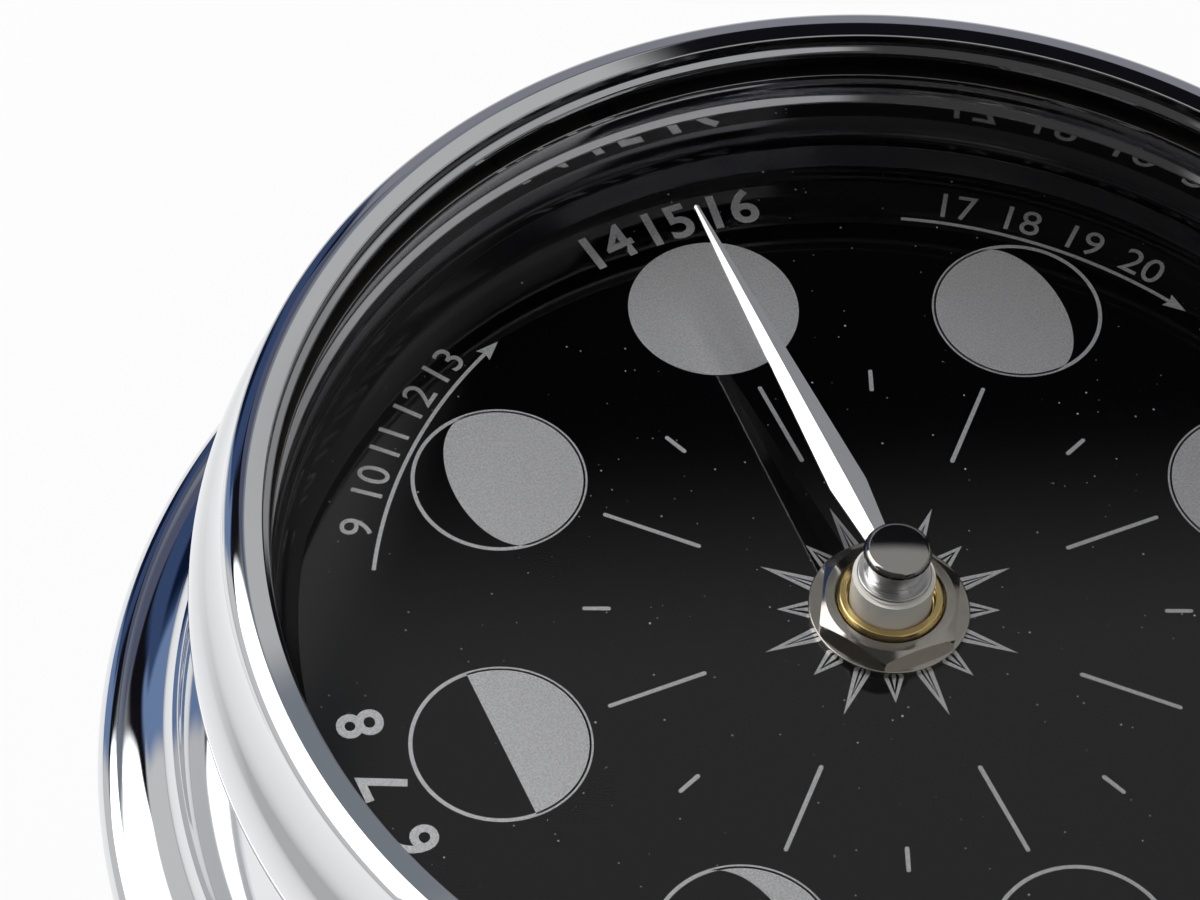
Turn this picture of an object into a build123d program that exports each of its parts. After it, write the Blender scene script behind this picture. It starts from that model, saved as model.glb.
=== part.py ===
from build123d import *

import os
from math import cos, radians, sin

# A moon phase clock in a round flanged case, lying on its back with the dial up.
# The back plane is Z = 0, the dial's centre is on the Z axis, 12 o'clock is +Y. Millimetres.

# Fits and general values
seat_gap = 0.05            # between pieces that are pushed together
running_gap = 0.05         # radial play of a shaft in its hole
overrun = 1.0              # how far a cut runs past the solid
full_turn = 360
half_turn = 180
quarter_turn = 90

# Dial and what stacks up behind it
dial_radius = 47.2
dial_edge_gap = 0.3        # around the dial, in the bore that the bezel shares
dial_thickness = 0.8
rubber_thickness = 0.9
movement_back = 1.3        # over the plane that the clock lies on

# Glass and the rim around it: each step is measured from the piece inside it
glass_edge_gap = 0.5
glass_lap = 1.4            # how far the bezel's lip reaches over the glass
glass_thickness = 2.0
glass_bevel = 0.35
glass_clearance = 1.1      # over the hand's cap
rim_rise = 2.0             # over the glass
rim_land_width = 1.3       # the flat land beside the glass
rim_crown_width = 1.6      # the rounded crown outside the land
rim_crown_rise = 0.8

# Bezel's outside, from the rim down to the case: slope, then bead
slope_step = 0.7
bead_top_step = 1.0
bead_step = 1.1
bead_foot_step = 0.9
slope_height_share = 0.79  # of the height from the case's top to the crown's foot
bead_top_height_share = 0.58
bead_height_share = 0.29

# Case body: barrel, dish, flange and the ledge that carries the dial
waist_step = 0.8
barrel_foot_step = 1.4
waist_height_share = 0.56  # of the height from the barrel's foot to the case's top
dish_width = 4.8
dish_rise = 3.5
dish_depth = 0.9
flange_edge_reach = 1.6
flange_edge_thickness = 3.0
flange_edge_round = 1.4
case_bore_step = 0.5
ledge_width = 4.0
ledge_thickness = 2.4
case_lip = 0.2             # how far the case's top stands over the dial's face
spigot_wall = 1.0
spigot_height = 2.2
fixing_hole_radius = 1.6
fixing_head_radius = 2.3
fixing_head_angle = 90
fixing_count = 3
first_fixing_angle = 90

# Rings under the glass
retainer_height = 5.0
retainer_show = 0.45       # how far the ring's lip stands inside the bezel's
retainer_hollow = 0.75
retainer_lip_thickness = 0.4
retainer_foot_height = 1.0
dial_ring_step = 0.4
dial_ring_flare = 1.2
dial_ring_neck_step = 0.9
dial_ring_neck_share = 0.41  # of the ring's height

# Hub: bush, nut and washers, on an M8 thread
bush_radius = 4.0
bush_bore_radius = 3.1
bush_mouth_radius = 3.3
bush_mouth_depth = 0.9
bush_mouth_bevel = 0.2
bush_stand = 2.05          # over the dial's face
bush_flange_radius = 5.2
bush_flange_thickness = 0.8
hub_washer_radius = 6.0
hub_washer_thickness = 0.5
hub_washer_bevel = 0.1
nut_flat_radius = 5.0
nut_thickness = 1.15
nut_bevel = 0.35
rubber_radius = 6.5

# Output wheel with its tube
wheel_module = 0.4
output_teeth = 48
output_wheel_thickness = 1.0
output_hub_radius = 4.2
output_hub_height = 1.1
output_hub_gap = 0.3       # to the bush above and to the bridge below
output_boss_radius = 2.0
output_stub_radius = 1.0
output_tube_radius = bush_bore_radius - running_gap
tube_top_stand = 4.35      # over the dial's face
tube_neck_radius = 1.7

# Hand, collet and cap
collet_radius = 2.75
collet_height = 0.55
collet_round = 0.15
hand_rest_angle = 0.65     # clockwise of 12 o'clock
hand_eye_radius = 2.25
hand_eye_thickness = 0.25
hand_length = 36.1
hand_tip_rise = 1.5        # the blade is bent up from its eye
hand_edge_thickness = 0.2
hand_ridge_rise = 0.25     # over the edges, at the hand's widest place
hand_root_radius = 1.9
hand_root_width = 1.1
hand_corner_radius = 3.45
hand_corner_width = 1.94
hand_wide_radius = 8.1
hand_wide_width = 2.9
hand_tip_width = 0.34
cap_radius = 2.5
cap_height = 0.85
cap_round = 0.43
cap_foot_round = 0.2
cap_neck_radius = 1.95
cap_neck_height = 1.8
cap_pin_radius = 0.85
cap_pin_length = 2.0

# Movement housing and rear cover
housing_wall = 1.2
housing_corner = 2.5
bay_wall = 0.7
cell_radius = 7.25
cell_stand = 0.25          # how far the cell stands out of the bay
cell_length = 50.5
cell_end_room = 1.55       # for a contact, between each end of the cell and the wall
cell_nub_radius = 2.75
cell_nub_length = 1.5
cell_round = 0.6
cover_post_radius = 1.9
cover_post_inset = 2.2
cover_screw_radius = 0.8
cover_screw_length = 5.0
screw_head_radius = 1.5
screw_head_height = 0.8
screw_slot_width = 0.4
screw_slot_depth = 0.35
knob_radius = 6.0
knob_height = 2.6
knob_bevel = 0.4
knob_rib_count = 12
knob_rib_radius = 0.9
knob_bore_depth = 1.8
knob_well_gap = 1.5
knob_well_wall = 1.0
knob_well_depth = 2.9
knob_back_height = 0.5     # over the plane that the clock lies on

# Gear bridge, between the two layers of wheels
bridge_gap = 0.8           # between the rotor's magnet and the bridge
bridge_thickness = 0.8
bridge_left = 20.0
bridge_right = 22.0
bridge_low = 10.4
bridge_high = 18.3
bridge_corner = 2.0
bridge_post_radius = 2.0
bridge_post_inset = 2.6
bridge_post_gap = 0.7      # between the bridge and the cover's posts
bridge_screw_radius = 0.7
bridge_screw_length = 4.0

# Wheel train: every tooth is straight-sided, with backlash
fine_module = 0.35
rotor_module = 0.3
setting_teeth = 12
drive_teeth = 10
clutch_teeth = 48
idler_pinion_teeth = 8
idler_teeth = 40
rotor_teeth = 8
addendum_share = 0.8
dedendum_share = 1.2
root_half_share = 0.27
tip_half_share = 0.1
mesh_play = 0.04           # added to each centre distance
pinion_past_wheel = 0.5    # how far a pinion stands past the wheel it meshes with
setting_bearing = 20
drive_bearing = 140
idler_bearing = 60
rotor_bearing = 0
setting_shaft_radius = 0.9
pivot_length = 0.8
socket_wall = 0.7
socket_floor = 0.3
drive_arbor_radius = 0.5
drive_collar_radius = 1.3
drive_collar_height = 1.0
clutch_height = 6.0
clutch_thickness = 0.8
clutch_hub_radius = 1.6
clutch_hub_length = 0.8
friction_washer_radius = 1.5
friction_washer_thickness = 0.3
idler_arbor_radius = 0.4
idler_height = 3.9
idler_thickness = 0.7
rotor_arbor_radius = 0.4
magnet_radius = 2.5
magnet_low = 5.4
magnet_height = 2.4

# Motor: stator plate, coil core, bobbin and winding
stator_back_height = 6.0
stator_thickness = 1.0
stator_hole_radius = 3.1
stator_web = 0.9
stator_boss_radius = 1.6
stator_pin_radius = 0.7
stator_boss_drop = 2.0
stator_boss_near = 6.0
stator_boss_far = 12.0
coil_rise = 7.4            # from the rotor's axis to the coil's axis
coil_left = 2.6            # from the rotor's axis to the core's end
core_length = 21.0
core_width = 3.0
core_thickness = 1.0
lug_width = 3.0
bobbin_end_gap = 0.2
bobbin_flange = 0.6
bobbin_radius = 3.1
bobbin_barrel_radius = 1.9
winding_radius = 2.8

# Circuit board with its crystal and chip
board_length = 20.0
board_width = 6.4
board_thickness = 0.8
board_height = 10.0
board_left = 21.5
board_edge_gap = 0.4
board_peg_radius = 1.2
board_peg_inset = 3.0
crystal_radius = 1.0
crystal_length = 6.0
crystal_round = 0.3
chip_radius = 2.4
chip_height = 0.8
chip_round = 0.3
chip_inset = 4.0

# Cell contacts: bent strips at the two ends of the bay
contact_thickness = 0.35
contact_width = 6.0
contact_half_height = 4.3
leaf_half_height = 1.0

# Heights and places that follow from the sizes, from the back to the front
movement_depth = housing_wall + seat_gap + cell_radius + cell_radius - cell_stand
movement_front = movement_back + movement_depth
ledge_height = movement_front + rubber_thickness
dial_face_height = ledge_height + dial_thickness
case_top_height = dial_face_height + case_lip
spigot_top_height = case_top_height + spigot_height
nut_bottom = dial_face_height + hub_washer_thickness
bush_top = dial_face_height + bush_stand
tube_top = dial_face_height + tube_top_stand
tube_bore_radius = cap_pin_radius + seat_gap
hand_low = tube_top + collet_height
tube_neck_top = hand_low - seat_gap
cap_neck_low = hand_low + hand_eye_thickness
cap_low = cap_neck_low + cap_neck_height
glass_bottom_height = cap_low + cap_height + glass_clearance
glass_top_height = glass_bottom_height + glass_thickness
retainer_bottom = glass_bottom_height - retainer_height
rim_height = glass_top_height + rim_rise
crown_foot_height = rim_height - rim_crown_rise
bezel_rise = crown_foot_height - case_top_height

# Radii that follow from the dial's, from the glass out to the flange
bezel_bore_radius = dial_radius + dial_edge_gap
ring_outer_radius = bezel_bore_radius - seat_gap
spigot_radius = bezel_bore_radius + spigot_wall
glass_radius = bezel_bore_radius - glass_edge_gap
glass_opening_radius = glass_radius - glass_lap
rim_land_radius = glass_opening_radius + rim_land_width
rim_outer_radius = rim_land_radius + rim_crown_width
slope_radius = rim_outer_radius + slope_step
bead_top_radius = slope_radius + bead_top_step
bead_radius = bead_top_radius + bead_step
barrel_top_radius = bead_radius - bead_foot_step
barrel_waist_radius = barrel_top_radius + waist_step
barrel_foot_radius = barrel_waist_radius + barrel_foot_step
dish_edge_radius = barrel_foot_radius + dish_width
flange_radius = dish_edge_radius + flange_edge_reach
case_bore_radius = bezel_bore_radius + case_bore_step
ledge_radius = case_bore_radius - ledge_width
retainer_lip_radius = glass_opening_radius - retainer_show
retainer_foot_radius = retainer_lip_radius + retainer_hollow
dial_ring_top_radius = retainer_foot_radius - dial_ring_step
dial_ring_neck_radius = dial_ring_top_radius - dial_ring_flare
dial_ring_foot_radius = dial_ring_neck_radius - dial_ring_neck_step
dial_ring_neck_height = (retainer_bottom - dial_face_height) * dial_ring_neck_share
barrel_foot_height = flange_edge_thickness + dish_rise
dish_middle_radius = (dish_edge_radius + barrel_foot_radius - dish_depth) / 2
dish_middle_height = (flange_edge_thickness + barrel_foot_height) / 2 - dish_depth
fixing_circle_radius = (dish_edge_radius + barrel_foot_radius) / 2
fixing_seat_height = dish_middle_height - seat_gap

# Places in the movement, which is as wide as the cell's bay and the wheel room need
bay_half = cell_length / 2 + cell_end_room
wheel_room_half = bridge_right + bridge_post_gap + cover_post_radius + cover_post_inset
housing_inner = max(bay_half, wheel_room_half)
half_width = housing_inner + housing_wall
movement_width = half_width + half_width
front_inner = movement_front - housing_wall
cover_top = movement_back + housing_wall
bush_flange_low = front_inner - bush_flange_thickness
cell_height = front_inner - seat_gap - cell_radius
cell_y = cell_radius + seat_gap - housing_inner
bay_wall_low = cell_y + cell_radius + seat_gap
bay_wall_high = bay_wall_low + bay_wall
cover_posts = [
    (side * (housing_inner - cover_post_inset), place)
    for side in (-1, 1)
    for place in (housing_inner - cover_post_inset, bay_wall_high + cover_post_inset)
]
magnet_top = magnet_low + magnet_height
bridge_back_height = magnet_top + bridge_gap
bridge_top = bridge_back_height + bridge_thickness
bridge_posts = [
    (across, along)
    for across in (bridge_post_inset - bridge_left, bridge_right - bridge_post_inset)
    for along in (bridge_post_inset - bridge_low, bridge_high - bridge_post_inset)
]
output_wheel_top = bush_flange_low - output_hub_gap - output_hub_height
output_wheel_height = output_wheel_top - output_wheel_thickness
pinion_low = output_wheel_height - pinion_past_wheel
pinion_high = output_wheel_top + pinion_past_wheel
front_socket_low = front_inner - pivot_length
shaft_top = front_inner - socket_floor
rear_socket_high = cover_top + pivot_length
shaft_bottom = cover_top + socket_floor
well_radius = knob_radius + knob_well_gap
well_floor = movement_back + knob_well_depth
well_top = well_floor + knob_well_wall
clutch_top = clutch_height + clutch_thickness
collar_low = clutch_top + friction_washer_thickness
idler_top = idler_height + idler_thickness
stator_top = stator_back_height + stator_thickness


def around(centre, radius, angle):
    """The point at a radius and an angle in degrees from a centre."""
    return (centre[0] + radius * cos(radians(angle)), centre[1] + radius * sin(radians(angle)))


def pitch_radius(teeth, module):
    """Radius at which a gear rolls on its mate."""
    return teeth * module / 2


def mesh_distance(teeth, mate_teeth, module):
    """Distance between two meshed axes, with a little play."""
    return pitch_radius(teeth, module) + pitch_radius(mate_teeth, module) + mesh_play


def meshed_phase(teeth, mate_teeth, mate_phase, bearing):
    """Turn of a gear whose gap takes its mate's tooth, seen from the mate along the bearing."""
    mate_share = (bearing - mate_phase) * mate_teeth / full_turn
    return bearing + half_turn - (1 / 2 - mate_share) * full_turn / teeth


output_at = (0, 0)
setting_at = around(output_at, mesh_distance(output_teeth, setting_teeth, wheel_module), setting_bearing)
drive_at = around(output_at, mesh_distance(output_teeth, drive_teeth, wheel_module), drive_bearing)
idler_at = around(drive_at, mesh_distance(clutch_teeth, idler_pinion_teeth, fine_module), idler_bearing)
rotor_at = around(idler_at, mesh_distance(idler_teeth, rotor_teeth, rotor_module), rotor_bearing)
setting_phase = meshed_phase(setting_teeth, output_teeth, 0, setting_bearing)
drive_phase = meshed_phase(drive_teeth, output_teeth, 0, drive_bearing)
idler_phase = meshed_phase(idler_pinion_teeth, clutch_teeth, 0, idler_bearing)
rotor_phase = meshed_phase(rotor_teeth, idler_teeth, 0, rotor_bearing)
stator_pins = [
    (rotor_at[0] + stator_boss_near, rotor_at[1] - stator_boss_drop),
    (rotor_at[0] + stator_boss_far, rotor_at[1] - stator_boss_drop),
]
coil_y = rotor_at[1] + coil_rise
core_left = rotor_at[0] - coil_left
core_right = core_left + core_length
core_height = stator_top + core_thickness / 2
bobbin_left = core_left + lug_width + bobbin_end_gap
bobbin_right = core_right - lug_width - bobbin_end_gap
board_y = housing_inner - board_edge_gap - board_width / 2
board_right = board_length - board_left


def disc(radius, low, high, at=output_at, mode=Mode.ADD):
    """Add or cut an upright round between two heights."""
    with BuildSketch(Plane.XY.offset(low)) as face:
        with Locations(at):
            Circle(radius)
    extrude(face.sketch, amount=high - low, mode=mode)


def block(left, right, front, back, low, high, mode=Mode.ADD):
    """Add or cut an upright block between two heights."""
    with BuildSketch(Plane.XY.offset(low)) as face:
        with Locations(((left + right) / 2, (front + back) / 2)):
            Rectangle(right - left, back - front)
    extrude(face.sketch, amount=high - low, mode=mode)


def gear(teeth, module, low, high, at=output_at, phase=0):
    """Add a toothed disc: trapezoid teeth that stand on a root circle."""
    tip = pitch_radius(teeth, module) + addendum_share * module
    root = pitch_radius(teeth, module) - dedendum_share * module
    step = full_turn / teeth
    corners = []
    for tooth in range(teeth):
        middle = phase + tooth * step
        corners.append(around(at, root, middle - root_half_share * step))
        corners.append(around(at, tip, middle - tip_half_share * step))
        corners.append(around(at, tip, middle + tip_half_share * step))
        corners.append(around(at, root, middle + root_half_share * step))
    with BuildSketch(Plane.XY.offset(low)) as face:
        with BuildLine():
            Polyline(*corners, close=True)
        make_face()
    extrude(face.sketch, amount=high - low)


def slotted_screws(places, head_low, shank_radius, shank_length):
    """Add screws whose slotted heads face the back."""
    head_high = head_low + screw_head_height
    reach = screw_head_radius + overrun
    for place in places:
        disc(screw_head_radius, head_low, head_high, place)
        disc(shank_radius, head_high, head_high + shank_length, place)
        left, right = place[0] - reach, place[0] + reach
        front, back = place[1] - screw_slot_width / 2, place[1] + screw_slot_width / 2
        block(left, right, front, back, head_low - overrun, head_low + screw_slot_depth, Mode.SUBTRACT)


def finish(piece, name):
    """Label a piece and write its file."""
    piece.part.label = name
    export_step(piece.part, f"parts/{name}.step")


os.makedirs("parts", exist_ok=True)

# Case body: turned flange and barrel, with countersunk fixing holes in the dish
with BuildPart() as case_body:
    with BuildSketch(Plane.XZ):
        with BuildLine():
            edge_low = (flange_radius - flange_edge_round, 0)
            edge_side = (flange_radius, flange_edge_thickness / 2)
            edge_high = (dish_edge_radius, flange_edge_thickness)
            foot = (barrel_foot_radius, barrel_foot_height)
            waist_rise = (case_top_height - barrel_foot_height) * waist_height_share
            Line((case_bore_radius, 0), edge_low)
            ThreePointArc(edge_low, edge_side, edge_high)
            ThreePointArc(edge_high, (dish_middle_radius, dish_middle_height), foot)
            ThreePointArc(
                foot,
                (barrel_waist_radius, barrel_foot_height + waist_rise),
                (barrel_top_radius, case_top_height),
            )
            Polyline(
                (barrel_top_radius, case_top_height),
                (spigot_radius, case_top_height),
                (spigot_radius, spigot_top_height),
                (bezel_bore_radius, spigot_top_height),
                (bezel_bore_radius, ledge_height),
                (ledge_radius, ledge_height),
                (ledge_radius, ledge_height - ledge_thickness),
                (case_bore_radius, ledge_height - ledge_thickness),
                (case_bore_radius, 0),
            )
        make_face()
    revolve(axis=Axis.Z)
    with Locations(Plane.XY.offset(fixing_seat_height)):
        with PolarLocations(fixing_circle_radius, fixing_count, first_fixing_angle):
            CounterSinkHole(
                fixing_hole_radius,
                fixing_head_radius,
                fixing_seat_height + overrun,
                fixing_head_angle,
            )
finish(case_body, "case_body")

# Bezel: one turned ring that drops over the case's spigot
with BuildPart() as bezel:
    with BuildSketch(Plane.XZ):
        with BuildLine():
            skirt_radius = spigot_radius + seat_gap
            skirt_top = spigot_top_height + seat_gap
            bead_middle = (bead_radius, case_top_height + bezel_rise * bead_height_share)
            bead_top = (bead_top_radius, case_top_height + bezel_rise * bead_top_height_share)
            slope_middle = (slope_radius, case_top_height + bezel_rise * slope_height_share)
            crown_foot = (rim_outer_radius, crown_foot_height)
            crown_middle = (rim_land_radius, crown_foot_height)
            ThreePointArc((barrel_top_radius, case_top_height), bead_middle, bead_top)
            ThreePointArc(bead_top, slope_middle, crown_foot)
            EllipticalCenterArc(crown_middle, rim_crown_width, rim_crown_rise, 0, arc_size=quarter_turn)
            Polyline(
                (rim_land_radius, rim_height),
                (glass_opening_radius, rim_height),
                (glass_opening_radius, glass_top_height),
                (bezel_bore_radius, glass_top_height),
                (bezel_bore_radius, skirt_top),
                (skirt_radius, skirt_top),
                (skirt_radius, case_top_height),
                (barrel_top_radius, case_top_height),
            )
        make_face()
    revolve(axis=Axis.Z)
finish(bezel, "bezel")

# Glass: a flat crystal with bevelled edges, under the bezel's lip
with BuildPart() as glass:
    disc(glass_radius, glass_bottom_height, glass_top_height)
    chamfer(glass.edges(), glass_bevel)
finish(glass, "glass")

# Ring that holds the glass up against the bezel's lip
with BuildPart() as glass_retaining_ring:
    with BuildSketch(Plane.XZ):
        with BuildLine():
            lip_height = glass_bottom_height - retainer_lip_thickness
            foot_top = retainer_bottom + retainer_foot_height
            Polyline(
                (retainer_lip_radius, lip_height),
                (retainer_lip_radius, glass_bottom_height),
                (ring_outer_radius, glass_bottom_height),
                (ring_outer_radius, retainer_bottom),
                (retainer_foot_radius, retainer_bottom),
                (retainer_foot_radius, foot_top),
            )
            TangentArc((retainer_foot_radius, foot_top), (retainer_lip_radius, lip_height), tangent=(0, 1))
        make_face()
    revolve(axis=Axis.Z)
finish(glass_retaining_ring, "glass_retaining_ring")

# Dial ring: the polished wall between the dial's edge and the retaining ring
with BuildPart() as dial_ring:
    with BuildSketch(Plane.XZ):
        with BuildLine():
            neck = (dial_ring_neck_radius, dial_face_height + dial_ring_neck_height)
            ring_top = (dial_ring_top_radius, retainer_bottom)
            Line((dial_ring_foot_radius, dial_face_height), neck)
            TangentArc(neck, ring_top, tangent=(0, 1))
            Polyline(
                ring_top,
                (ring_outer_radius, retainer_bottom),
                (ring_outer_radius, dial_face_height),
                (dial_ring_foot_radius, dial_face_height),
            )
        make_face()
    revolve(axis=Axis.Z)
finish(dial_ring, "dial_ring")

# Dial: a thin metal disc, clamped at its edge and bored for the bush
with BuildPart() as dial:
    disc(dial_radius, ledge_height, dial_face_height)
    disc(bush_radius + seat_gap, ledge_height, dial_face_height, mode=Mode.SUBTRACT)
finish(dial, "dial")

# Hub: rubber washer behind the dial, flat washer and hex nut in front of it
with BuildPart() as rubber_washer:
    disc(rubber_radius, movement_front, ledge_height)
    disc(bush_radius + seat_gap, movement_front, ledge_height, mode=Mode.SUBTRACT)
finish(rubber_washer, "rubber_washer")

with BuildPart() as hub_washer:
    disc(hub_washer_radius, dial_face_height, nut_bottom)
    chamfer(hub_washer.edges().group_by(Axis.Z)[-1], hub_washer_bevel)
    disc(bush_radius + seat_gap, dial_face_height, nut_bottom, mode=Mode.SUBTRACT)
finish(hub_washer, "hub_washer")

with BuildPart() as hub_nut:
    with BuildSketch(Plane.XY.offset(nut_bottom)):
        RegularPolygon(nut_flat_radius, 6, major_radius=False)
    extrude(amount=nut_thickness)
    with BuildSketch(Plane.XZ) as nut_turning:
        with BuildLine():
            corner_radius = nut_flat_radius / cos(radians(half_turn / 6))
            turned_radius = nut_flat_radius - nut_bevel / 2
            nut_top = nut_bottom + nut_thickness
            Polyline(
                (turned_radius, nut_top),
                (corner_radius, nut_top - (corner_radius - turned_radius) / 2),
                (corner_radius + overrun, nut_top),
                (corner_radius, nut_top + overrun),
                close=True,
            )
        make_face()
    revolve(axis=Axis.Z, mode=Mode.SUBTRACT)
    disc(bush_radius + seat_gap, nut_bottom, nut_bottom + nut_thickness, mode=Mode.SUBTRACT)
finish(hub_nut, "hub_nut")

# Threaded bush: its flange is caught behind the housing's front wall
with BuildPart() as threaded_bush:
    disc(bush_flange_radius, bush_flange_low, front_inner)
    disc(bush_radius, front_inner, bush_top)
    chamfer(threaded_bush.edges().group_by(Axis.Z)[-1], bush_mouth_bevel)
    disc(bush_bore_radius, bush_flange_low, bush_top, mode=Mode.SUBTRACT)
    disc(bush_mouth_radius, bush_top - bush_mouth_depth, bush_top, mode=Mode.SUBTRACT)
finish(threaded_bush, "threaded_bush")

# Movement housing: a square tray with the wheel room, the cell's bay, posts and sockets
with BuildPart() as movement_housing:
    with BuildSketch(Plane.XY.offset(movement_back)):
        RectangleRounded(movement_width, movement_width, housing_corner)
    extrude(amount=movement_depth)
    block(
        -housing_inner, housing_inner, bay_wall_high, housing_inner,
        movement_back, front_inner, Mode.SUBTRACT,
    )
    block(
        -housing_inner, housing_inner, -housing_inner, bay_wall_low,
        movement_back, front_inner, Mode.SUBTRACT,
    )
    block(
        -half_width, half_width, bay_wall_low, half_width,
        movement_back, cover_top, Mode.SUBTRACT,
    )
    for post in cover_posts:
        disc(cover_post_radius, cover_top, front_inner, post)
        disc(cover_screw_radius, cover_top, cover_top + cover_screw_length, post, Mode.SUBTRACT)
    for post in bridge_posts:
        disc(bridge_post_radius, bridge_top, front_inner, post)
        screw_tip = bridge_back_height + bridge_screw_length
        disc(bridge_screw_radius, bridge_top, screw_tip, post, Mode.SUBTRACT)
    for peg_x in (board_peg_inset - board_left, board_right - board_peg_inset):
        disc(board_peg_radius, board_height + board_thickness, front_inner, (peg_x, board_y))
    for socket, shaft_radius in ((setting_at, setting_shaft_radius), (drive_at, drive_arbor_radius)):
        hole_radius = shaft_radius + running_gap
        disc(hole_radius + socket_wall, front_socket_low, front_inner, socket)
        disc(hole_radius, front_socket_low, front_inner, socket, Mode.SUBTRACT)
    disc(bush_radius + seat_gap, front_inner, movement_front, mode=Mode.SUBTRACT)
finish(movement_housing, "movement_housing")

# Rear cover: closes the wheel room, with a well for the knob and sockets for the arbors
with BuildPart() as rear_cover:
    with BuildSketch(Plane.XY.offset(movement_back)):
        RectangleRounded(movement_width, movement_width, housing_corner)
        with Locations((0, (bay_wall_low - half_width) / 2)):
            Rectangle(movement_width, half_width + bay_wall_low, mode=Mode.SUBTRACT)
    extrude(amount=housing_wall)
    disc(well_radius + knob_well_wall, cover_top, well_top, setting_at)
    disc(well_radius, movement_back, well_floor, setting_at, Mode.SUBTRACT)
    disc(setting_shaft_radius + running_gap, well_floor, well_top, setting_at, Mode.SUBTRACT)
    for socket, arbor_radius in (
        (drive_at, drive_arbor_radius),
        (idler_at, idler_arbor_radius),
        (rotor_at, rotor_arbor_radius),
    ):
        hole_radius = arbor_radius + running_gap
        disc(hole_radius + socket_wall, cover_top, rear_socket_high, socket)
        disc(hole_radius, cover_top, rear_socket_high, socket, Mode.SUBTRACT)
    for post in cover_posts:
        disc(cover_screw_radius + seat_gap, movement_back, cover_top, post, Mode.SUBTRACT)
finish(rear_cover, "rear_cover")

with BuildPart() as rear_cover_screws:
    slotted_screws(
        cover_posts,
        movement_back - screw_head_height,
        cover_screw_radius - seat_gap,
        cover_screw_length,
    )
finish(rear_cover_screws, "rear_cover_screws")

# Gear bridge: a plate on four posts that carries the arbors and the stator
with BuildPart() as gear_bridge:
    with BuildSketch(Plane.XY.offset(bridge_back_height)):
        with Locations(((bridge_right - bridge_left) / 2, (bridge_high - bridge_low) / 2)):
            RectangleRounded(bridge_left + bridge_right, bridge_low + bridge_high, bridge_corner)
    extrude(amount=bridge_thickness)
    for pin in stator_pins:
        disc(stator_boss_radius, stator_top, bridge_back_height, pin)
        disc(stator_pin_radius, stator_back_height, stator_top, pin)
    for bearing, arbor_radius in (
        (output_at, output_stub_radius),
        (setting_at, setting_shaft_radius),
        (drive_at, drive_arbor_radius),
        (idler_at, idler_arbor_radius),
        (rotor_at, rotor_arbor_radius),
    ):
        disc(arbor_radius + running_gap, bridge_back_height, bridge_top, bearing, Mode.SUBTRACT)
    for post in bridge_posts:
        disc(bridge_screw_radius + seat_gap, bridge_back_height, bridge_top, post, Mode.SUBTRACT)
finish(gear_bridge, "gear_bridge")

with BuildPart() as bridge_screws:
    slotted_screws(
        bridge_posts,
        bridge_back_height - screw_head_height,
        bridge_screw_radius - seat_gap,
        bridge_screw_length,
    )
finish(bridge_screws, "bridge_screws")

# Output wheel: one moulding with the stub in the bridge and the tube through the bush
with BuildPart() as output_wheel:
    gear(output_teeth, wheel_module, output_wheel_height, output_wheel_top)
    disc(output_boss_radius, bridge_top + output_hub_gap, output_wheel_height)
    disc(output_stub_radius, bridge_back_height, bridge_top + output_hub_gap)
    disc(output_hub_radius, output_wheel_top, bush_flange_low - output_hub_gap)
    disc(output_tube_radius, bush_flange_low - output_hub_gap, tube_top)
    disc(tube_neck_radius, tube_top, tube_neck_top)
    disc(
        tube_bore_radius,
        cap_neck_low - cap_pin_length - seat_gap,
        tube_neck_top,
        mode=Mode.SUBTRACT,
    )
finish(output_wheel, "output_wheel")

# Collet: a turned bush pushed over the tube's neck
with BuildPart() as hand_collet:
    disc(collet_radius, tube_top, hand_low)
    fillet(hand_collet.edges().group_by(Axis.Z)[-1], collet_round)
    disc(tube_neck_radius + seat_gap, tube_top, hand_low, mode=Mode.SUBTRACT)
finish(hand_collet, "hand_collet")

# Moon hand: a ridged blade lofted through four sections that climb from a round eye
with BuildPart() as hand_blade:
    disc(hand_eye_radius, hand_low, cap_neck_low)
    for station, width in (
        (hand_root_radius, hand_root_width),
        (hand_corner_radius, hand_corner_width),
        (hand_wide_radius, hand_wide_width),
        (hand_length, hand_tip_width),
    ):
        low = hand_low + hand_tip_rise * station / hand_length
        edge = low + hand_edge_thickness
        ridge = edge + hand_ridge_rise * width / hand_wide_width
        with BuildSketch(Plane.XZ.offset(-station)):
            with BuildLine():
                Polyline(
                    (-width / 2, low),
                    (width / 2, low),
                    (width / 2, edge),
                    (0, ridge),
                    (-width / 2, edge),
                    close=True,
                )
            make_face()
    loft(ruled=True)
    disc(cap_neck_radius + seat_gap, cap_neck_low, cap_low, mode=Mode.SUBTRACT)
    disc(tube_bore_radius, hand_low, cap_neck_low, mode=Mode.SUBTRACT)
with BuildPart() as moon_hand:
    add(hand_blade.part.rotate(Axis.Z, -hand_rest_angle))
finish(moon_hand, "moon_hand")

# Cap: a polished button whose pin holds the hand down on the collet
with BuildPart() as hand_cap:
    disc(cap_radius, cap_low, cap_low + cap_height)
    fillet(hand_cap.edges().group_by(Axis.Z)[-1], cap_round)
    fillet(hand_cap.edges().group_by(Axis.Z)[0], cap_foot_round)
    disc(cap_neck_radius, cap_neck_low, cap_low)
    disc(cap_pin_radius, cap_neck_low - cap_pin_length, cap_neck_low)
finish(hand_cap, "hand_cap")

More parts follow.
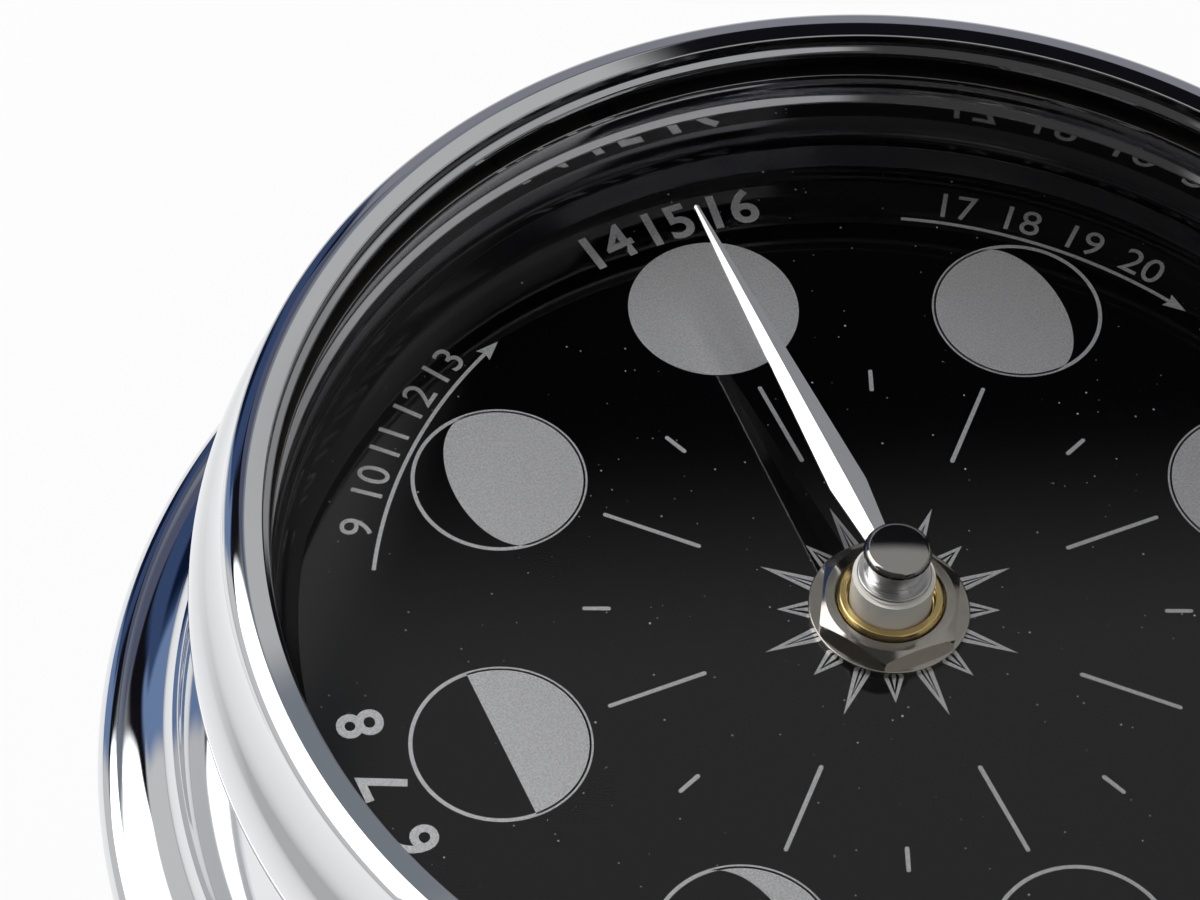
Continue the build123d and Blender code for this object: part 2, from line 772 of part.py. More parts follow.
# Setting knob and its shaft, which turns the output wheel directly
with BuildPart() as setting_knob:
    disc(knob_radius, knob_back_height, knob_back_height + knob_height, setting_at)
    chamfer(setting_knob.edges(), knob_bevel)
    with BuildSketch(Plane.XY.offset(knob_back_height - overrun)):
        with Locations(setting_at):
            with PolarLocations(knob_radius + knob_rib_radius / 2, knob_rib_count):
                Circle(knob_rib_radius)
    extrude(amount=knob_height + overrun + overrun, mode=Mode.SUBTRACT)
    knob_top = knob_back_height + knob_height
    disc(setting_shaft_radius + seat_gap, knob_top - knob_bore_depth, knob_top, setting_at, Mode.SUBTRACT)
finish(setting_knob, "setting_knob")

with BuildPart() as setting_shaft:
    disc(setting_shaft_radius, knob_top - knob_bore_depth, shaft_top, setting_at)
    gear(setting_teeth, wheel_module, pinion_low, pinion_high, setting_at, setting_phase)
finish(setting_shaft, "setting_shaft")

# Drive arbor with its pinion, and the clutch wheel that grips it through a friction washer
with BuildPart() as drive_arbor:
    disc(drive_arbor_radius, shaft_bottom, shaft_top, drive_at)
    disc(
        drive_collar_radius,
        clutch_height - clutch_hub_length - drive_collar_height,
        clutch_height - clutch_hub_length,
        drive_at,
    )
    disc(drive_collar_radius, collar_low, collar_low + drive_collar_height, drive_at)
    gear(drive_teeth, wheel_module, pinion_low, pinion_high, drive_at, drive_phase)
finish(drive_arbor, "drive_arbor")

with BuildPart() as friction_washer:
    disc(friction_washer_radius, clutch_top, collar_low, drive_at)
    disc(drive_arbor_radius + seat_gap, clutch_top, collar_low, drive_at, Mode.SUBTRACT)
finish(friction_washer, "friction_washer")

with BuildPart() as clutch_wheel:
    gear(clutch_teeth, fine_module, clutch_height, clutch_top, drive_at)
    disc(clutch_hub_radius, clutch_height - clutch_hub_length, clutch_height, drive_at)
    disc(
        drive_arbor_radius + running_gap,
        clutch_height - clutch_hub_length,
        clutch_top,
        drive_at,
        Mode.SUBTRACT,
    )
finish(clutch_wheel, "clutch_wheel")

# Intermediate wheel and pinion on a steel arbor
with BuildPart() as idler_wheel:
    gear(idler_teeth, rotor_module, idler_height, idler_top, idler_at)
    gear(idler_pinion_teeth, fine_module, idler_top, clutch_top + pinion_past_wheel, idler_at, idler_phase)
    disc(
        idler_arbor_radius + seat_gap,
        idler_height,
        clutch_top + pinion_past_wheel,
        idler_at,
        Mode.SUBTRACT,
    )
finish(idler_wheel, "idler_wheel")

with BuildPart() as idler_arbor:
    disc(idler_arbor_radius, shaft_bottom, bridge_top, idler_at)
finish(idler_arbor, "idler_arbor")

# Rotor: a pinion moulded with its spindle, and a round magnet pressed on it
with BuildPart() as rotor_pinion:
    disc(rotor_arbor_radius, shaft_bottom, bridge_top, rotor_at)
    gear(rotor_teeth, rotor_module, idler_height - pinion_past_wheel, magnet_low, rotor_at, rotor_phase)
finish(rotor_pinion, "rotor_pinion")

with BuildPart() as rotor_magnet:
    disc(magnet_radius, magnet_low, magnet_top, rotor_at)
    disc(rotor_arbor_radius + seat_gap, magnet_low, magnet_top, rotor_at, Mode.SUBTRACT)
finish(rotor_magnet, "rotor_magnet")

# Stator plate: a web around the rotor and two lugs under the coil's core
with BuildPart() as stator_plate:
    plate_left = rotor_at[0] - stator_hole_radius - stator_web
    plate_low = rotor_at[1] - stator_hole_radius - stator_web
    plate_high = rotor_at[1] + stator_hole_radius + stator_web
    core_back = coil_y + core_width / 2
    block(plate_left, core_right, plate_low, plate_high, stator_back_height, stator_top)
    for lug_left in (core_left, core_right - lug_width):
        block(lug_left, lug_left + lug_width, plate_high, core_back, stator_back_height, stator_top)
    disc(stator_hole_radius, stator_back_height, stator_top, rotor_at, Mode.SUBTRACT)
    for pin in stator_pins:
        disc(stator_pin_radius + seat_gap, stator_back_height, stator_top, pin, Mode.SUBTRACT)
finish(stator_plate, "stator_plate")

with BuildPart() as coil_core:
    core_front = coil_y - core_width / 2
    block(core_left, core_right, core_front, core_back, stator_top, stator_top + core_thickness)
finish(coil_core, "coil_core")

# Bobbin and winding lie along X, around the core
coil_plane = Plane.YZ.offset(bobbin_left)
bobbin_length = bobbin_right - bobbin_left
with BuildPart() as coil_bobbin:
    with BuildSketch(coil_plane):
        with Locations((coil_y, core_height)):
            Circle(bobbin_barrel_radius)
    extrude(amount=bobbin_length)
    for flange_start in (bobbin_left, bobbin_right - bobbin_flange):
        with BuildSketch(Plane.YZ.offset(flange_start)):
            with Locations((coil_y, core_height)):
                Circle(bobbin_radius)
        extrude(amount=bobbin_flange)
    with BuildSketch(coil_plane):
        with Locations((coil_y, core_height)):
            Rectangle(core_width + seat_gap, core_thickness + seat_gap)
    extrude(amount=bobbin_length, mode=Mode.SUBTRACT)
finish(coil_bobbin, "coil_bobbin")

with BuildPart() as coil_winding:
    with BuildSketch(Plane.YZ.offset(bobbin_left + bobbin_flange)):
        with Locations((coil_y, core_height)):
            Circle(winding_radius)
            Circle(bobbin_barrel_radius, mode=Mode.SUBTRACT)
    extrude(amount=bobbin_length - bobbin_flange - bobbin_flange)
finish(coil_winding, "coil_winding")

# Circuit board on its pegs, with the chip and the crystal on the back
with BuildPart() as circuit_board:
    board_front, board_back = board_y - board_width / 2, board_y + board_width / 2
    block(-board_left, board_right, board_front, board_back, board_height, board_height + board_thickness)
finish(circuit_board, "circuit_board")

with BuildPart() as driver_chip:
    chip_at = (board_right - chip_inset, board_y)
    disc(chip_radius, board_height - chip_height, board_height, chip_at)
    fillet(driver_chip.edges().group_by(Axis.Z)[0], chip_round)
finish(driver_chip, "driver_chip")

with BuildPart() as quartz_crystal:
    with BuildSketch(Plane.YZ.offset(crystal_length - board_left)):
        with Locations((board_y, board_height - crystal_radius)):
            Circle(crystal_radius)
    extrude(amount=crystal_length)
    fillet(quartz_crystal.edges().group_by(Axis.X)[0], crystal_round)
finish(quartz_crystal, "quartz_crystal")

# Cell: a can with its nub towards +X
with BuildPart() as battery:
    with BuildSketch(Plane.YZ.offset(-cell_length / 2)):
        with Locations((cell_y, cell_height)):
            Circle(cell_radius)
    extrude(amount=cell_length - cell_nub_length)
    fillet(battery.edges(), cell_round)
    with BuildSketch(Plane.YZ.offset(cell_length / 2 - cell_nub_length)):
        with Locations((cell_y, cell_height)):
            Circle(cell_nub_radius)
    extrude(amount=cell_nub_length)
finish(battery, "battery")

# Contacts: each strip stands on the bay's end wall and folds back to the cell
for side, name in ((1, "positive_contact"), (-1, "negative_contact")):
    with BuildPart() as contact:
        wall_x = side * (housing_inner - seat_gap - contact_thickness / 2)
        leaf_x = side * (cell_length / 2 + seat_gap + contact_thickness / 2)
        with BuildSketch(Plane.XZ.offset(-cell_y)):
            with BuildLine():
                Polyline(
                    (wall_x, cell_height - contact_half_height),
                    (wall_x, cell_height + contact_half_height),
                    (leaf_x, cell_height + leaf_half_height),
                    (leaf_x, cell_height - leaf_half_height),
                )
            trace(line_width=contact_thickness)
        extrude(amount=contact_width / 2, both=True)
    finish(contact, name)
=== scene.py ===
"""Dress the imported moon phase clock: turned chrome case, printed dial, hub and hand.

Lengths in the classes are millimetres in the part's own frame: the dial's centre is on
the Z axis, 12 o'clock is +Y, and the clock lies on Z = 0. The workbench turns them into
metres. Places on the dial are given by radius and by angle, counted from 3 o'clock.
"""

import logging
import math
from collections.abc import Callable, Sequence
from dataclasses import dataclass, field
from enum import Enum

import bmesh
import bpy
from mathutils import Matrix, Vector


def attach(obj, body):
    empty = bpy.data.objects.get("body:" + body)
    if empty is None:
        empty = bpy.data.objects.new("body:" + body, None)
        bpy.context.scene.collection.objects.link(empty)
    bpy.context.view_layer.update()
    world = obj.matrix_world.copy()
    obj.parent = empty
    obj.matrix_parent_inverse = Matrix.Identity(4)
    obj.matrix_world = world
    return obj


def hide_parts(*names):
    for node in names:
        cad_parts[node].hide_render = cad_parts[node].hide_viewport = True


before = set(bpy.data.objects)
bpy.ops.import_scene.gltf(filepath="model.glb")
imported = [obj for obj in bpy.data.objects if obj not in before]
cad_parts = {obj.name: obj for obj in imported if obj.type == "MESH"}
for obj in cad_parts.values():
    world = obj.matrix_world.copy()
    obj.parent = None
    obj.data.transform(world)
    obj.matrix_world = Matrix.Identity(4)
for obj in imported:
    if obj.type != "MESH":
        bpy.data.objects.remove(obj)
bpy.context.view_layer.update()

MM = 0.001
Point = tuple[float, float]
Place = tuple[float, float, float]
Colour = tuple[float, float, float]
Piece = bpy.types.Object
Socket = bpy.types.NodeSocket
DOUBLES = MM / 2000  # corners nearer to each other than this are merged
SHARP = math.radians(25)  # a corner that turns less than this isn't rounded
SIDE_PARTS = 2.6  # a rounding takes at most one of this many parts of a side
GUARD = 1.2  # guards stand at this many times a rounding's reach
CREASE = 30  # edges that turn more than this, in degrees, stay sharp to the eye
EIGHTHS = range(0, 360, 45)  # the dial's eight main directions, in degrees

log = logging.getLogger("moon_clock")


# Outlines


def arc(start: Point, through: Point, end: Point, steps: int) -> list[Point]:
    """Run a circle arc through three corners.

    Args:
        start: First corner, which the run leaves out.
        through: Any corner on the arc.
        end: Last corner.
        steps: Number of straight steps.

    Returns:
        The corners after the first one, up to the end.
    """
    (ax, ay), (bx, by), (cx, cy) = start, through, end
    double = 2 * (ax * (by - cy) + bx * (cy - ay) + cx * (ay - by))
    sa, sb, sc = ax * ax + ay * ay, bx * bx + by * by, cx * cx + cy * cy
    ux = (sa * (by - cy) + sb * (cy - ay) + sc * (ay - by)) / double
    uy = (sa * (cx - bx) + sb * (ax - cx) + sc * (bx - ax)) / double
    radius = math.hypot(ax - ux, ay - uy)
    first = math.atan2(ay - uy, ax - ux)
    last = math.atan2(cy - uy, cx - ux)
    middle = math.atan2(by - uy, bx - ux)
    sweep = (last - first) % math.tau
    if (middle - first) % math.tau > sweep:
        sweep -= math.tau
    angles = [first + sweep * step / steps for step in range(1, steps + 1)]
    return [(ux + radius * math.cos(a), uy + radius * math.sin(a)) for a in angles]


def softened(corners: Sequence[Point], reach: float, steps: int = 4) -> list[Point]:
    """Round every corner of a closed outline that turns sharply.

    Args:
        corners: The outline's corners in order.
        reach: How far along each side the rounding begins.
        steps: Straight steps in each rounding.

    Returns:
        The outline with its sharp corners rounded, each between two guards that keep
        the shading of the sides flat.
    """
    made: list[Point] = []
    count = len(corners)
    for index, corner in enumerate(corners):
        here = Vector(corner)
        before = Vector(corners[index - 1]) - here
        after = Vector(corners[(index + 1) % count]) - here
        turn = math.pi - before.angle(after)
        if turn < SHARP or here.x == 0:
            made.append(corner)
            continue
        first = here + before.normalized() * min(reach, before.length / SIDE_PARTS)
        last = here + after.normalized() * min(reach, after.length / SIDE_PARTS)
        made.append(tuple(here.lerp(first, GUARD)))
        for step in range(steps + 1):
            share = step / steps
            made.append(tuple(first.lerp(here, share).lerp(here.lerp(last, share), share)))
        made.append(tuple(here.lerp(last, GUARD)))
    return made


def eased(corners: Sequence[Point], corner: Point, reach: float, steps: int = 12) -> list[Point]:
    """Run a wide curve through one corner of an outline.

    Args:
        corners: The outline's corners in order.
        corner: The corner that the curve cuts off.
        reach: How far on both sides the curve begins.
        steps: Straight steps in the curve.

    Returns:
        The outline with the curve in it.
    """
    place = corners.index(corner)
    here = Vector(corner)
    before = [point for point in corners[:place] if (Vector(point) - here).length > reach]
    after = [point for point in corners[place + 1:] if (Vector(point) - here).length > reach]
    first, last = Vector(before[-1]), Vector(after[0])
    made = []
    for step in range(1, steps):
        share = step / steps
        made.append(tuple(first.lerp(here, share).lerp(here.lerp(last, share), share)))
    return before + made + after


def quarter(centre: Point, across: float, up: float, steps: int) -> list[Point]:
    """Run a quarter of an ellipse from its outer side up to its top.

    Args:
        centre: Centre of the ellipse.
        across: Its half-width.
        up: Its half-height.
        steps: Number of straight steps.

    Returns:
        All the corners, with both ends.
    """
    turns = [math.pi / 2 * step / steps for step in range(steps + 1)]
    return [(centre[0] + across * math.cos(t), centre[1] + up * math.sin(t)) for t in turns]


def block(inner: float, outer: float, low: float, high: float) -> list[Point]:
    """Return the outline of a plain ring between two radii and two heights."""
    return [(inner, low), (outer, low), (outer, high), (inner, high)]


def polar(radius: float, angle: float) -> Point:
    """Return the place at a radius and an angle in degrees."""
    turn = math.radians(angle)
    return radius * math.cos(turn), radius * math.sin(turn)


# Workbench


class Bench:
    """The modelling moves that the sub-assemblies share."""

    @staticmethod
    def clear() -> None:
        """Leave edit mode and deselect everything."""
        if bpy.context.object and bpy.context.object.mode != "OBJECT":
            bpy.ops.object.mode_set(mode="OBJECT")
        bpy.ops.object.select_all(action="DESELECT")

    @staticmethod
    def pick(*pieces: Piece) -> None:
        """Leave edit mode and select only these pieces, with the first one active."""
        Bench.clear()
        for piece in pieces:
            piece.select_set(True)
        bpy.context.view_layer.objects.active = pieces[0]

    @staticmethod
    def adopt(name: str) -> Piece:
        """Name the primitive that was just added and move its place into its mesh."""
        piece = bpy.context.object
        piece.name = name
        piece.data.name = name
        bpy.ops.object.transform_apply(location=True, rotation=True, scale=True)
        return piece

    @staticmethod
    def corner(name: str, place: Place) -> Piece:
        """Start a piece as a plane merged to one corner, and stay in edit mode.

        Args:
            name: Name of the new object.
            place: Where the corner stands, in millimetres.

        Returns:
            The new object, with its one corner selected.
        """
        Bench.clear()
        bpy.ops.mesh.primitive_plane_add(size=MM, location=Vector(place) * MM)
        piece = Bench.adopt(name)
        bpy.ops.object.mode_set(mode="EDIT")
        bpy.ops.mesh.select_mode(type="VERT")
        bpy.ops.mesh.select_all(action="SELECT")
        bpy.ops.mesh.merge(type="CENTER")
        return piece

    @staticmethod
    def draw(name: str, places: Sequence[Place], closed: bool) -> Piece:
        """Draw a line by extruding a corner from place to place, and stay in edit mode.

        Args:
            name: Name of the new object.
            places: The line's corners, in millimetres.
            closed: Whether the line returns to its first corner.

        Returns:
            The new object, all selected.
        """
        piece = Bench.corner(name, places[0])
        route = list(places) + ([places[0]] if closed else [])
        for last, place in zip(route, route[1:]):
            step = (Vector(place) - Vector(last)) * MM
            bpy.ops.mesh.extrude_vertices_move(TRANSFORM_OT_translate={"value": step})
        bpy.ops.mesh.select_all(action="SELECT")
        bpy.ops.mesh.remove_doubles(threshold=DOUBLES)
        return piece

    @staticmethod
    def choose(piece: Piece, kind: str, test: Callable[..., bool]) -> None:
        """Select in edit mode by place or normal.

        Args:
            piece: The object in edit mode, whose mesh stands in its final place.
            kind: VERT, EDGE or FACE.
            test: Takes a vertex, edge or face and says whether it is selected.
        """
        bpy.ops.mesh.select_mode(type=kind)
        bpy.ops.mesh.select_all(action="DESELECT")
        shape = bmesh.from_edit_mesh(piece.data)
        group = {"VERT": shape.verts, "EDGE": shape.edges, "FACE": shape.faces}[kind]
        for part in group:
            if test(part):
                part.select_set(True)
        shape.select_flush_mode()
        bmesh.update_edit_mesh(piece.data)

    @staticmethod
    def mend() -> None:
        """Merge doubles and turn all faces outwards, in edit mode."""
        bpy.ops.mesh.select_all(action="SELECT")
        bpy.ops.mesh.remove_doubles(threshold=DOUBLES)
        bpy.ops.mesh.normals_make_consistent(inside=False)

    @staticmethod
    def settle(piece: Piece, crease: float = CREASE) -> Piece:
        """Leave edit mode and shade smooth up to a crease angle in degrees."""
        bpy.ops.object.mode_set(mode="OBJECT")
        Bench.pick(piece)
        bpy.ops.object.transform_apply(location=True, rotation=True, scale=True)
        bpy.ops.object.shade_smooth_by_angle(angle=math.radians(crease))
        return piece

    @staticmethod
    def turn(
        name: str,
        outline: Sequence[Point],
        steps: int = 192,
        centre: Point = (0, 0),
        from_axis: bool = False,
    ) -> Piece:
        """Turn an outline around an upright axis, as on a lathe.

        Args:
            name: Name of the new object.
            outline: Corners of (radius, height), in millimetres.
            steps: Steps of the full turn.
            centre: Where the axis stands.
            from_axis: Whether the outline starts and ends on the axis and stays open.

        Returns:
            The finished object.
        """
        places = [(centre[0] + radius, centre[1], height) for radius, height in outline]
        piece = Bench.draw(name, places, closed=not from_axis)
        middle = (centre[0] * MM, centre[1] * MM, 0)
        bpy.ops.mesh.spin(steps=steps, angle=math.tau, center=middle, axis=(0, 0, 1))
        Bench.mend()
        return Bench.settle(piece)

    @staticmethod
    def carve(piece: Piece, tool: Piece, operation: str) -> None:
        """Cut or join a piece with a tool object, which is used up.

        Args:
            piece: The object that stays.
            tool: The object that cuts it or joins it.
            operation: DIFFERENCE, INTERSECT or UNION.
        """
        cut = piece.modifiers.new("cut", "BOOLEAN")
        cut.operation = operation
        cut.object = tool
        cut.solver = "EXACT"
        Bench.pick(piece)
        bpy.ops.object.modifier_apply(modifier=cut.name)
        bpy.data.objects.remove(tool)

    @staticmethod
    def turned_copies(piece: Piece, angles: Sequence[float]) -> list[Piece]:
        """Copy a piece that lies along +X to other angles, each copy with its own mesh.

        Args:
            piece: The first piece, which goes to the first angle itself.
            angles: Angles from 3 o'clock, in degrees.

        Returns:
            All the pieces, one for each angle.
        """
        made = [piece]
        for _ in angles[1:]:
            copy = piece.copy()
            copy.data = piece.data.copy()
            bpy.context.scene.collection.objects.link(copy)
            made.append(copy)
        for copy, angle in zip(made, angles):
            copy.data.transform(Matrix.Rotation(math.radians(angle), 4, "Z"))
        return made

    @staticmethod
    def joined(pieces: Sequence[Piece], name: str) -> Piece:
        """Join pieces into one object with the first one's finishes, and name it."""
        Bench.pick(*pieces)
        bpy.ops.object.join()
        pieces[0].name = name
        pieces[0].data.name = name
        return pieces[0]


# Finishes


class Graph:
    """A shader's node tree in the making."""

    def __init__(self, tree: bpy.types.NodeTree) -> None:
        """Take up a node tree."""
        self.tree = tree

    def node(self, kind: str, **values: object) -> bpy.types.Node:
        """Add a node and set its inputs, whose names are written with _ for a space."""
        node = self.tree.nodes.new(f"ShaderNode{kind}")
        for name, value in values.items():
            node.inputs[name.replace("_", " ")].default_value = value
        return node

    def join(self, source: Socket, target: Socket) -> None:
        """Link one socket to another."""
        self.tree.links.new(source, target)

    def math(self, operation: str, first: Socket, second: Socket | float) -> Socket:
        """Work out one number from two."""
        node = self.node("Math")
        node.operation = operation
        self.join(first, node.inputs[0])
        if isinstance(second, (int, float)):
            node.inputs[1].default_value = second
        else:
            self.join(second, node.inputs[1])
        return node.outputs[0]

    def ranged(self, value: Socket, source: Point, target: Point, smooth: bool = False) -> Socket:
        """Carry a number from one range to another, held at its ends.

        Args:
            value: The number.
            source: Its lowest and highest value.
            target: What these become.
            smooth: Whether it eases in and out.

        Returns:
            The new number.
        """
        (low, high), (first, last) = source, target
        node = self.node("MapRange", From_Min=low, From_Max=high, To_Min=first, To_Max=last)
        node.interpolation_type = "SMOOTHSTEP" if smooth else "LINEAR"
        self.join(value, node.inputs["Value"])
        return node.outputs["Result"]

    def seen(self) -> Socket:
        """Return one for what the camera sees, mirrors and glass included, and zero for the rest."""
        path = self.node("LightPath").outputs
        either = self.math("MAXIMUM", path["Is Camera Ray"], path["Is Glossy Ray"])
        return self.math("MAXIMUM", either, path["Is Transmission Ray"])


class Recipe(Graph):
    """One material in the making: its shader and the nodes that feed it."""

    def __init__(self, name: str, **values: object) -> None:
        """Make a material with a Principled shader and an Object coordinate.

        Args:
            name: The material's name.
            values: What the shader's own inputs are set to, with _ for a space.
        """
        self.material = bpy.data.materials.new(name)
        self.material.use_nodes = True
        super().__init__(self.material.node_tree)
        self.tree.nodes.clear()
        self.shader = self.node("BsdfPrincipled", **values)
        self.output = self.node("OutputMaterial").inputs["Surface"]
        self.join(self.shader.outputs[0], self.output)
        self.place = self.node("TexCoord").outputs["Object"]

    def feed(self, name: str, source: Socket) -> None:
        """Link a socket to one of the shader's inputs."""
        self.join(source, self.shader.inputs[name])

    def stretched(self, stretch: Place) -> Socket:
        """Scale the coordinates, so that a pattern runs finer along some axes."""
        mapping = self.node("Mapping", Scale=stretch)
        self.join(self.place, mapping.inputs["Vector"])
        return mapping.outputs["Vector"]

    def along_x(self) -> Socket:
        """Return the coordinate along X, in metres."""
        split = self.node("SeparateXYZ")
        self.join(self.place, split.inputs[0])
        return split.outputs[0]

    def from_axis(self) -> Socket:
        """Return the distance from the clock's axis, in metres."""
        node = self.node("VectorMath")
        node.operation = "LENGTH"
        self.join(self.stretched((1, 1, 0)), node.inputs[0])
        return node.outputs["Value"]

    def noise(self, size: float, detail: float = 2, stretch: Place = (1, 1, 1)) -> Socket:
        """Add a noise pattern.

        Args:
            size: Size of its grains in millimetres.
            detail: How many finer layers it has.
            stretch: Scale of the coordinates along X, Y and Z.

        Returns:
            The pattern's value, around one half.
        """
        node = self.node("TexNoise", Scale=1 / (size * MM), Detail=detail)
        self.join(self.stretched(stretch), node.inputs["Vector"])
        return node.outputs["Fac"]

    def waves(self, place: Socket, length: float) -> Socket:
        """Make even waves along a coordinate in metres, each of a length in millimetres."""
        wave = self.math("SINE", self.math("MULTIPLY", place, math.tau / (length * MM)), 0)
        return self.ranged(wave, (-1, 1), (0, 1))

    def blended(self, share: Socket, first: Colour | Socket, second: Colour | Socket) -> Socket:
        """Blend two colours by a share.

        Args:
            share: Zero gives the first colour and one the second.
            first: A colour or a socket.
            second: A colour or a socket.

        Returns:
            The blended colour.
        """
        node = self.node("Mix")
        node.data_type = "RGBA"
        self.join(share, node.inputs["Factor"])
        for target, colour in ((node.inputs[6], first), (node.inputs[7], second)):
            if isinstance(colour, tuple):
                target.default_value = (*colour, 1)
            else:
                self.join(colour, target)
        return node.outputs[2]

    def colour(self, share: Socket, first: Colour, second: Colour | float) -> None:
        """Feed the base colour with a blend.

        Args:
            share: Zero gives the first colour and one the second.
            first: A colour.
            second: A colour, or a number that makes a shade of the first one.
        """
        if not isinstance(second, tuple):
            second = tuple(second * channel for channel in first)
        self.feed("Base Color", self.blended(share, first, second))

    def roughness(self, pattern: Socket, target: Point, source: Point = (0.3, 0.7)) -> None:
        """Feed the roughness by a pattern.

        Args:
            pattern: The pattern.
            target: The roughness where it is low and where it is high.
            source: The pattern's values that count as low and as high.
        """
        self.feed("Roughness", self.ranged(pattern, source, target))

    def bump(self, height: Socket, rise: float) -> None:
        """Raise the surface by a pattern from zero to one, where one is this many millimetres."""
        node = self.node("Bump", Distance=rise * MM, Strength=1)
        self.join(height, node.inputs["Height"])
        self.feed("Normal", node.outputs["Normal"])

    def mix(self, share: Socket, first: bpy.types.Node, second: bpy.types.Node) -> None:
        """Show a mix of two shaders: the first at a share of zero and the second at one."""
        node = self.node("MixShader")
        for source, target in zip((share, first.outputs[0], second.outputs[0]), node.inputs):
            self.join(source, target)
        self.join(node.outputs[0], self.output)


@dataclass(frozen=True)
class PolishedMetal:
    """Plated metal polished to a mirror, with faint cloudy marks of handling."""

    name: str
    colour: Colour
    roughness: Point = (0.012, 0.05)
    cloud: float = 14
    line: float = 0.5
    line_share: float = 0.25
    marked: Point = (0.45, 0.85)
    shade: float = 0.95

    def material(self) -> bpy.types.Material:
        """Make the material."""
        recipe = Recipe(self.name, Metallic=1.0)
        marks = recipe.noise(self.cloud, 3)
        recipe.colour(marks, self.colour, self.shade)
        lines = recipe.math("MULTIPLY", recipe.noise(self.line, 2, (1, 1, 6)), self.line_share)
        recipe.roughness(recipe.math("ADD", marks, lines), self.roughness, self.marked)
        return recipe.material


@dataclass(frozen=True)
class LatheTurnedMetal:
    """Metal left as the lathe cut it, with fine rings around the clock's axis."""

    name: str
    colour: Colour
    pitch: float = 0.06
    roughness: Point = (0.14, 0.26)
    rise: float = 0.0004
    wander: float = 0.02
    wander_grain: float = 0.35
    mark: float = 2.2
    shade: float = 0.85

    def material(self) -> bpy.types.Material:
        """Make the material."""
        recipe = Recipe(self.name, Metallic=1.0)
        wander = recipe.math("MULTIPLY", recipe.noise(self.wander_grain, 2), self.wander * MM)
        rings = recipe.waves(recipe.math("ADD", recipe.from_axis(), wander), self.pitch)
        marks = recipe.noise(self.mark, 4)
        recipe.colour(marks, self.colour, self.shade)
        recipe.roughness(marks, self.roughness)
        recipe.bump(rings, self.rise)
        return recipe.material


@dataclass(frozen=True)
class BrushedMetal:
    """Metal brushed along the hand, with streaks that run along Y."""

    name: str
    colour: Colour
    roughness: Point
    rise: float
    streak: float = 0.09
    stretch: Place = (1, 0.03, 1)
    shade: float = 0.86

    def material(self) -> bpy.types.Material:
        """Make the material."""
        recipe = Recipe(self.name, Metallic=1.0)
        streaks = recipe.noise(self.streak, 3, self.stretch)
        recipe.colour(streaks, self.colour, self.shade)
        recipe.roughness(streaks, self.roughness)
        recipe.bump(streaks, self.rise)
        return recipe.material


@dataclass(frozen=True)
class BlackLacquer:
    """Glossy black lacquer with fine dust that catches the light."""

    name: str
    colour: Colour
    dust_cell: float
    dust_radius: float
    dust: Colour = (0.55, 0.55, 0.6)
    dusty: Point = (0.4, 1.0)
    glint: Point = (0.05, 0.7)
    smear: float = 9
    roughness: Point = (0.03, 0.05)

    def material(self) -> bpy.types.Material:
        """Make the material."""
        recipe = Recipe(self.name)
        cells = recipe.node("TexVoronoi", Scale=1 / (self.dust_cell * MM))
        recipe.join(recipe.stretched((1, 1, 0)), cells.inputs["Vector"])
        pick = recipe.node("SeparateColor")
        recipe.join(cells.outputs["Color"], pick.inputs[0])
        size = recipe.ranged(pick.outputs[0], self.dusty, (0, self.dust_radius / self.dust_cell))
        near = recipe.math("LESS_THAN", cells.outputs["Distance"], size)
        bright = recipe.math("MULTIPLY", near, recipe.ranged(pick.outputs[1], (0, 1), self.glint))
        recipe.colour(bright, self.colour, self.dust)
        recipe.roughness(recipe.noise(self.smear, 3), self.roughness)
        return recipe.material


@dataclass(frozen=True)
class SilverInk:
    """Screen-printed silver ink: fine metal flakes under a clear coat."""

    name: str
    colour: Colour
    flake: float
    roughness: Point = (0.37, 0.3)
    flakes: Point = (0.35, 0.65)
    shade: float = 0.72
    rise: float = 0.003

    def material(self) -> bpy.types.Material:
        """Make the material."""
        recipe = Recipe(self.name, Metallic=1.0)
        grain = recipe.noise(self.flake, 4)
        recipe.colour(recipe.ranged(grain, self.flakes, (1, 0)), self.colour, self.shade)
        recipe.roughness(grain, self.roughness, self.flakes)
        recipe.bump(grain, self.rise)
        return recipe.material


@dataclass(frozen=True)
class ClearGlass:
    """Thin clock glass that only shows as a reflection, faint from above and strong at a slant."""

    name: str
    least: float = 0.005
    power: float = 5
    smear: float = 25
    roughness: Point = (0.0, 0.02)

    def material(self) -> bpy.types.Material:
        """Make the material: a clear pass-through mixed with a mirror by the angle."""
        recipe = Recipe(self.name, Base_Color=(1, 1, 1, 1), Metallic=1.0)
        recipe.roughness(recipe.noise(self.smear, 2), self.roughness)
        slant = recipe.node("LayerWeight", Blend=0.5).outputs["Facing"]
        mirror = recipe.ranged(recipe.math("POWER", slant, self.power), (0, 1), (self.least, 1))
        recipe.mix(mirror, recipe.node("BsdfTransparent", Color=(1, 1, 1, 1)), recipe.shader)
        return recipe.material


@dataclass(frozen=True)
class Moulded:
    """Moulded plastic or rubber with a fine grain."""

    name: str
    colour: Colour
    roughness: Point = (0.32, 0.48)
    grain: float = 0.25
    rise: float = 0.003
    glow: float = 0.0
    glow_depth: Place = (0.0012, 0.001, 0.0007)
    cloud: float = 6
    shade: float = 0.88

    def material(self) -> bpy.types.Material:
        """Make the material."""
        recipe = Recipe(
            self.name, Subsurface_Weight=self.glow, Subsurface_Radius=self.glow_depth
        )
        grain = recipe.noise(self.grain, 3)
        recipe.colour(recipe.noise(self.cloud, 2), self.colour, self.shade)
        recipe.roughness(grain, self.roughness)
        recipe.bump(grain, self.rise)
        return recipe.material


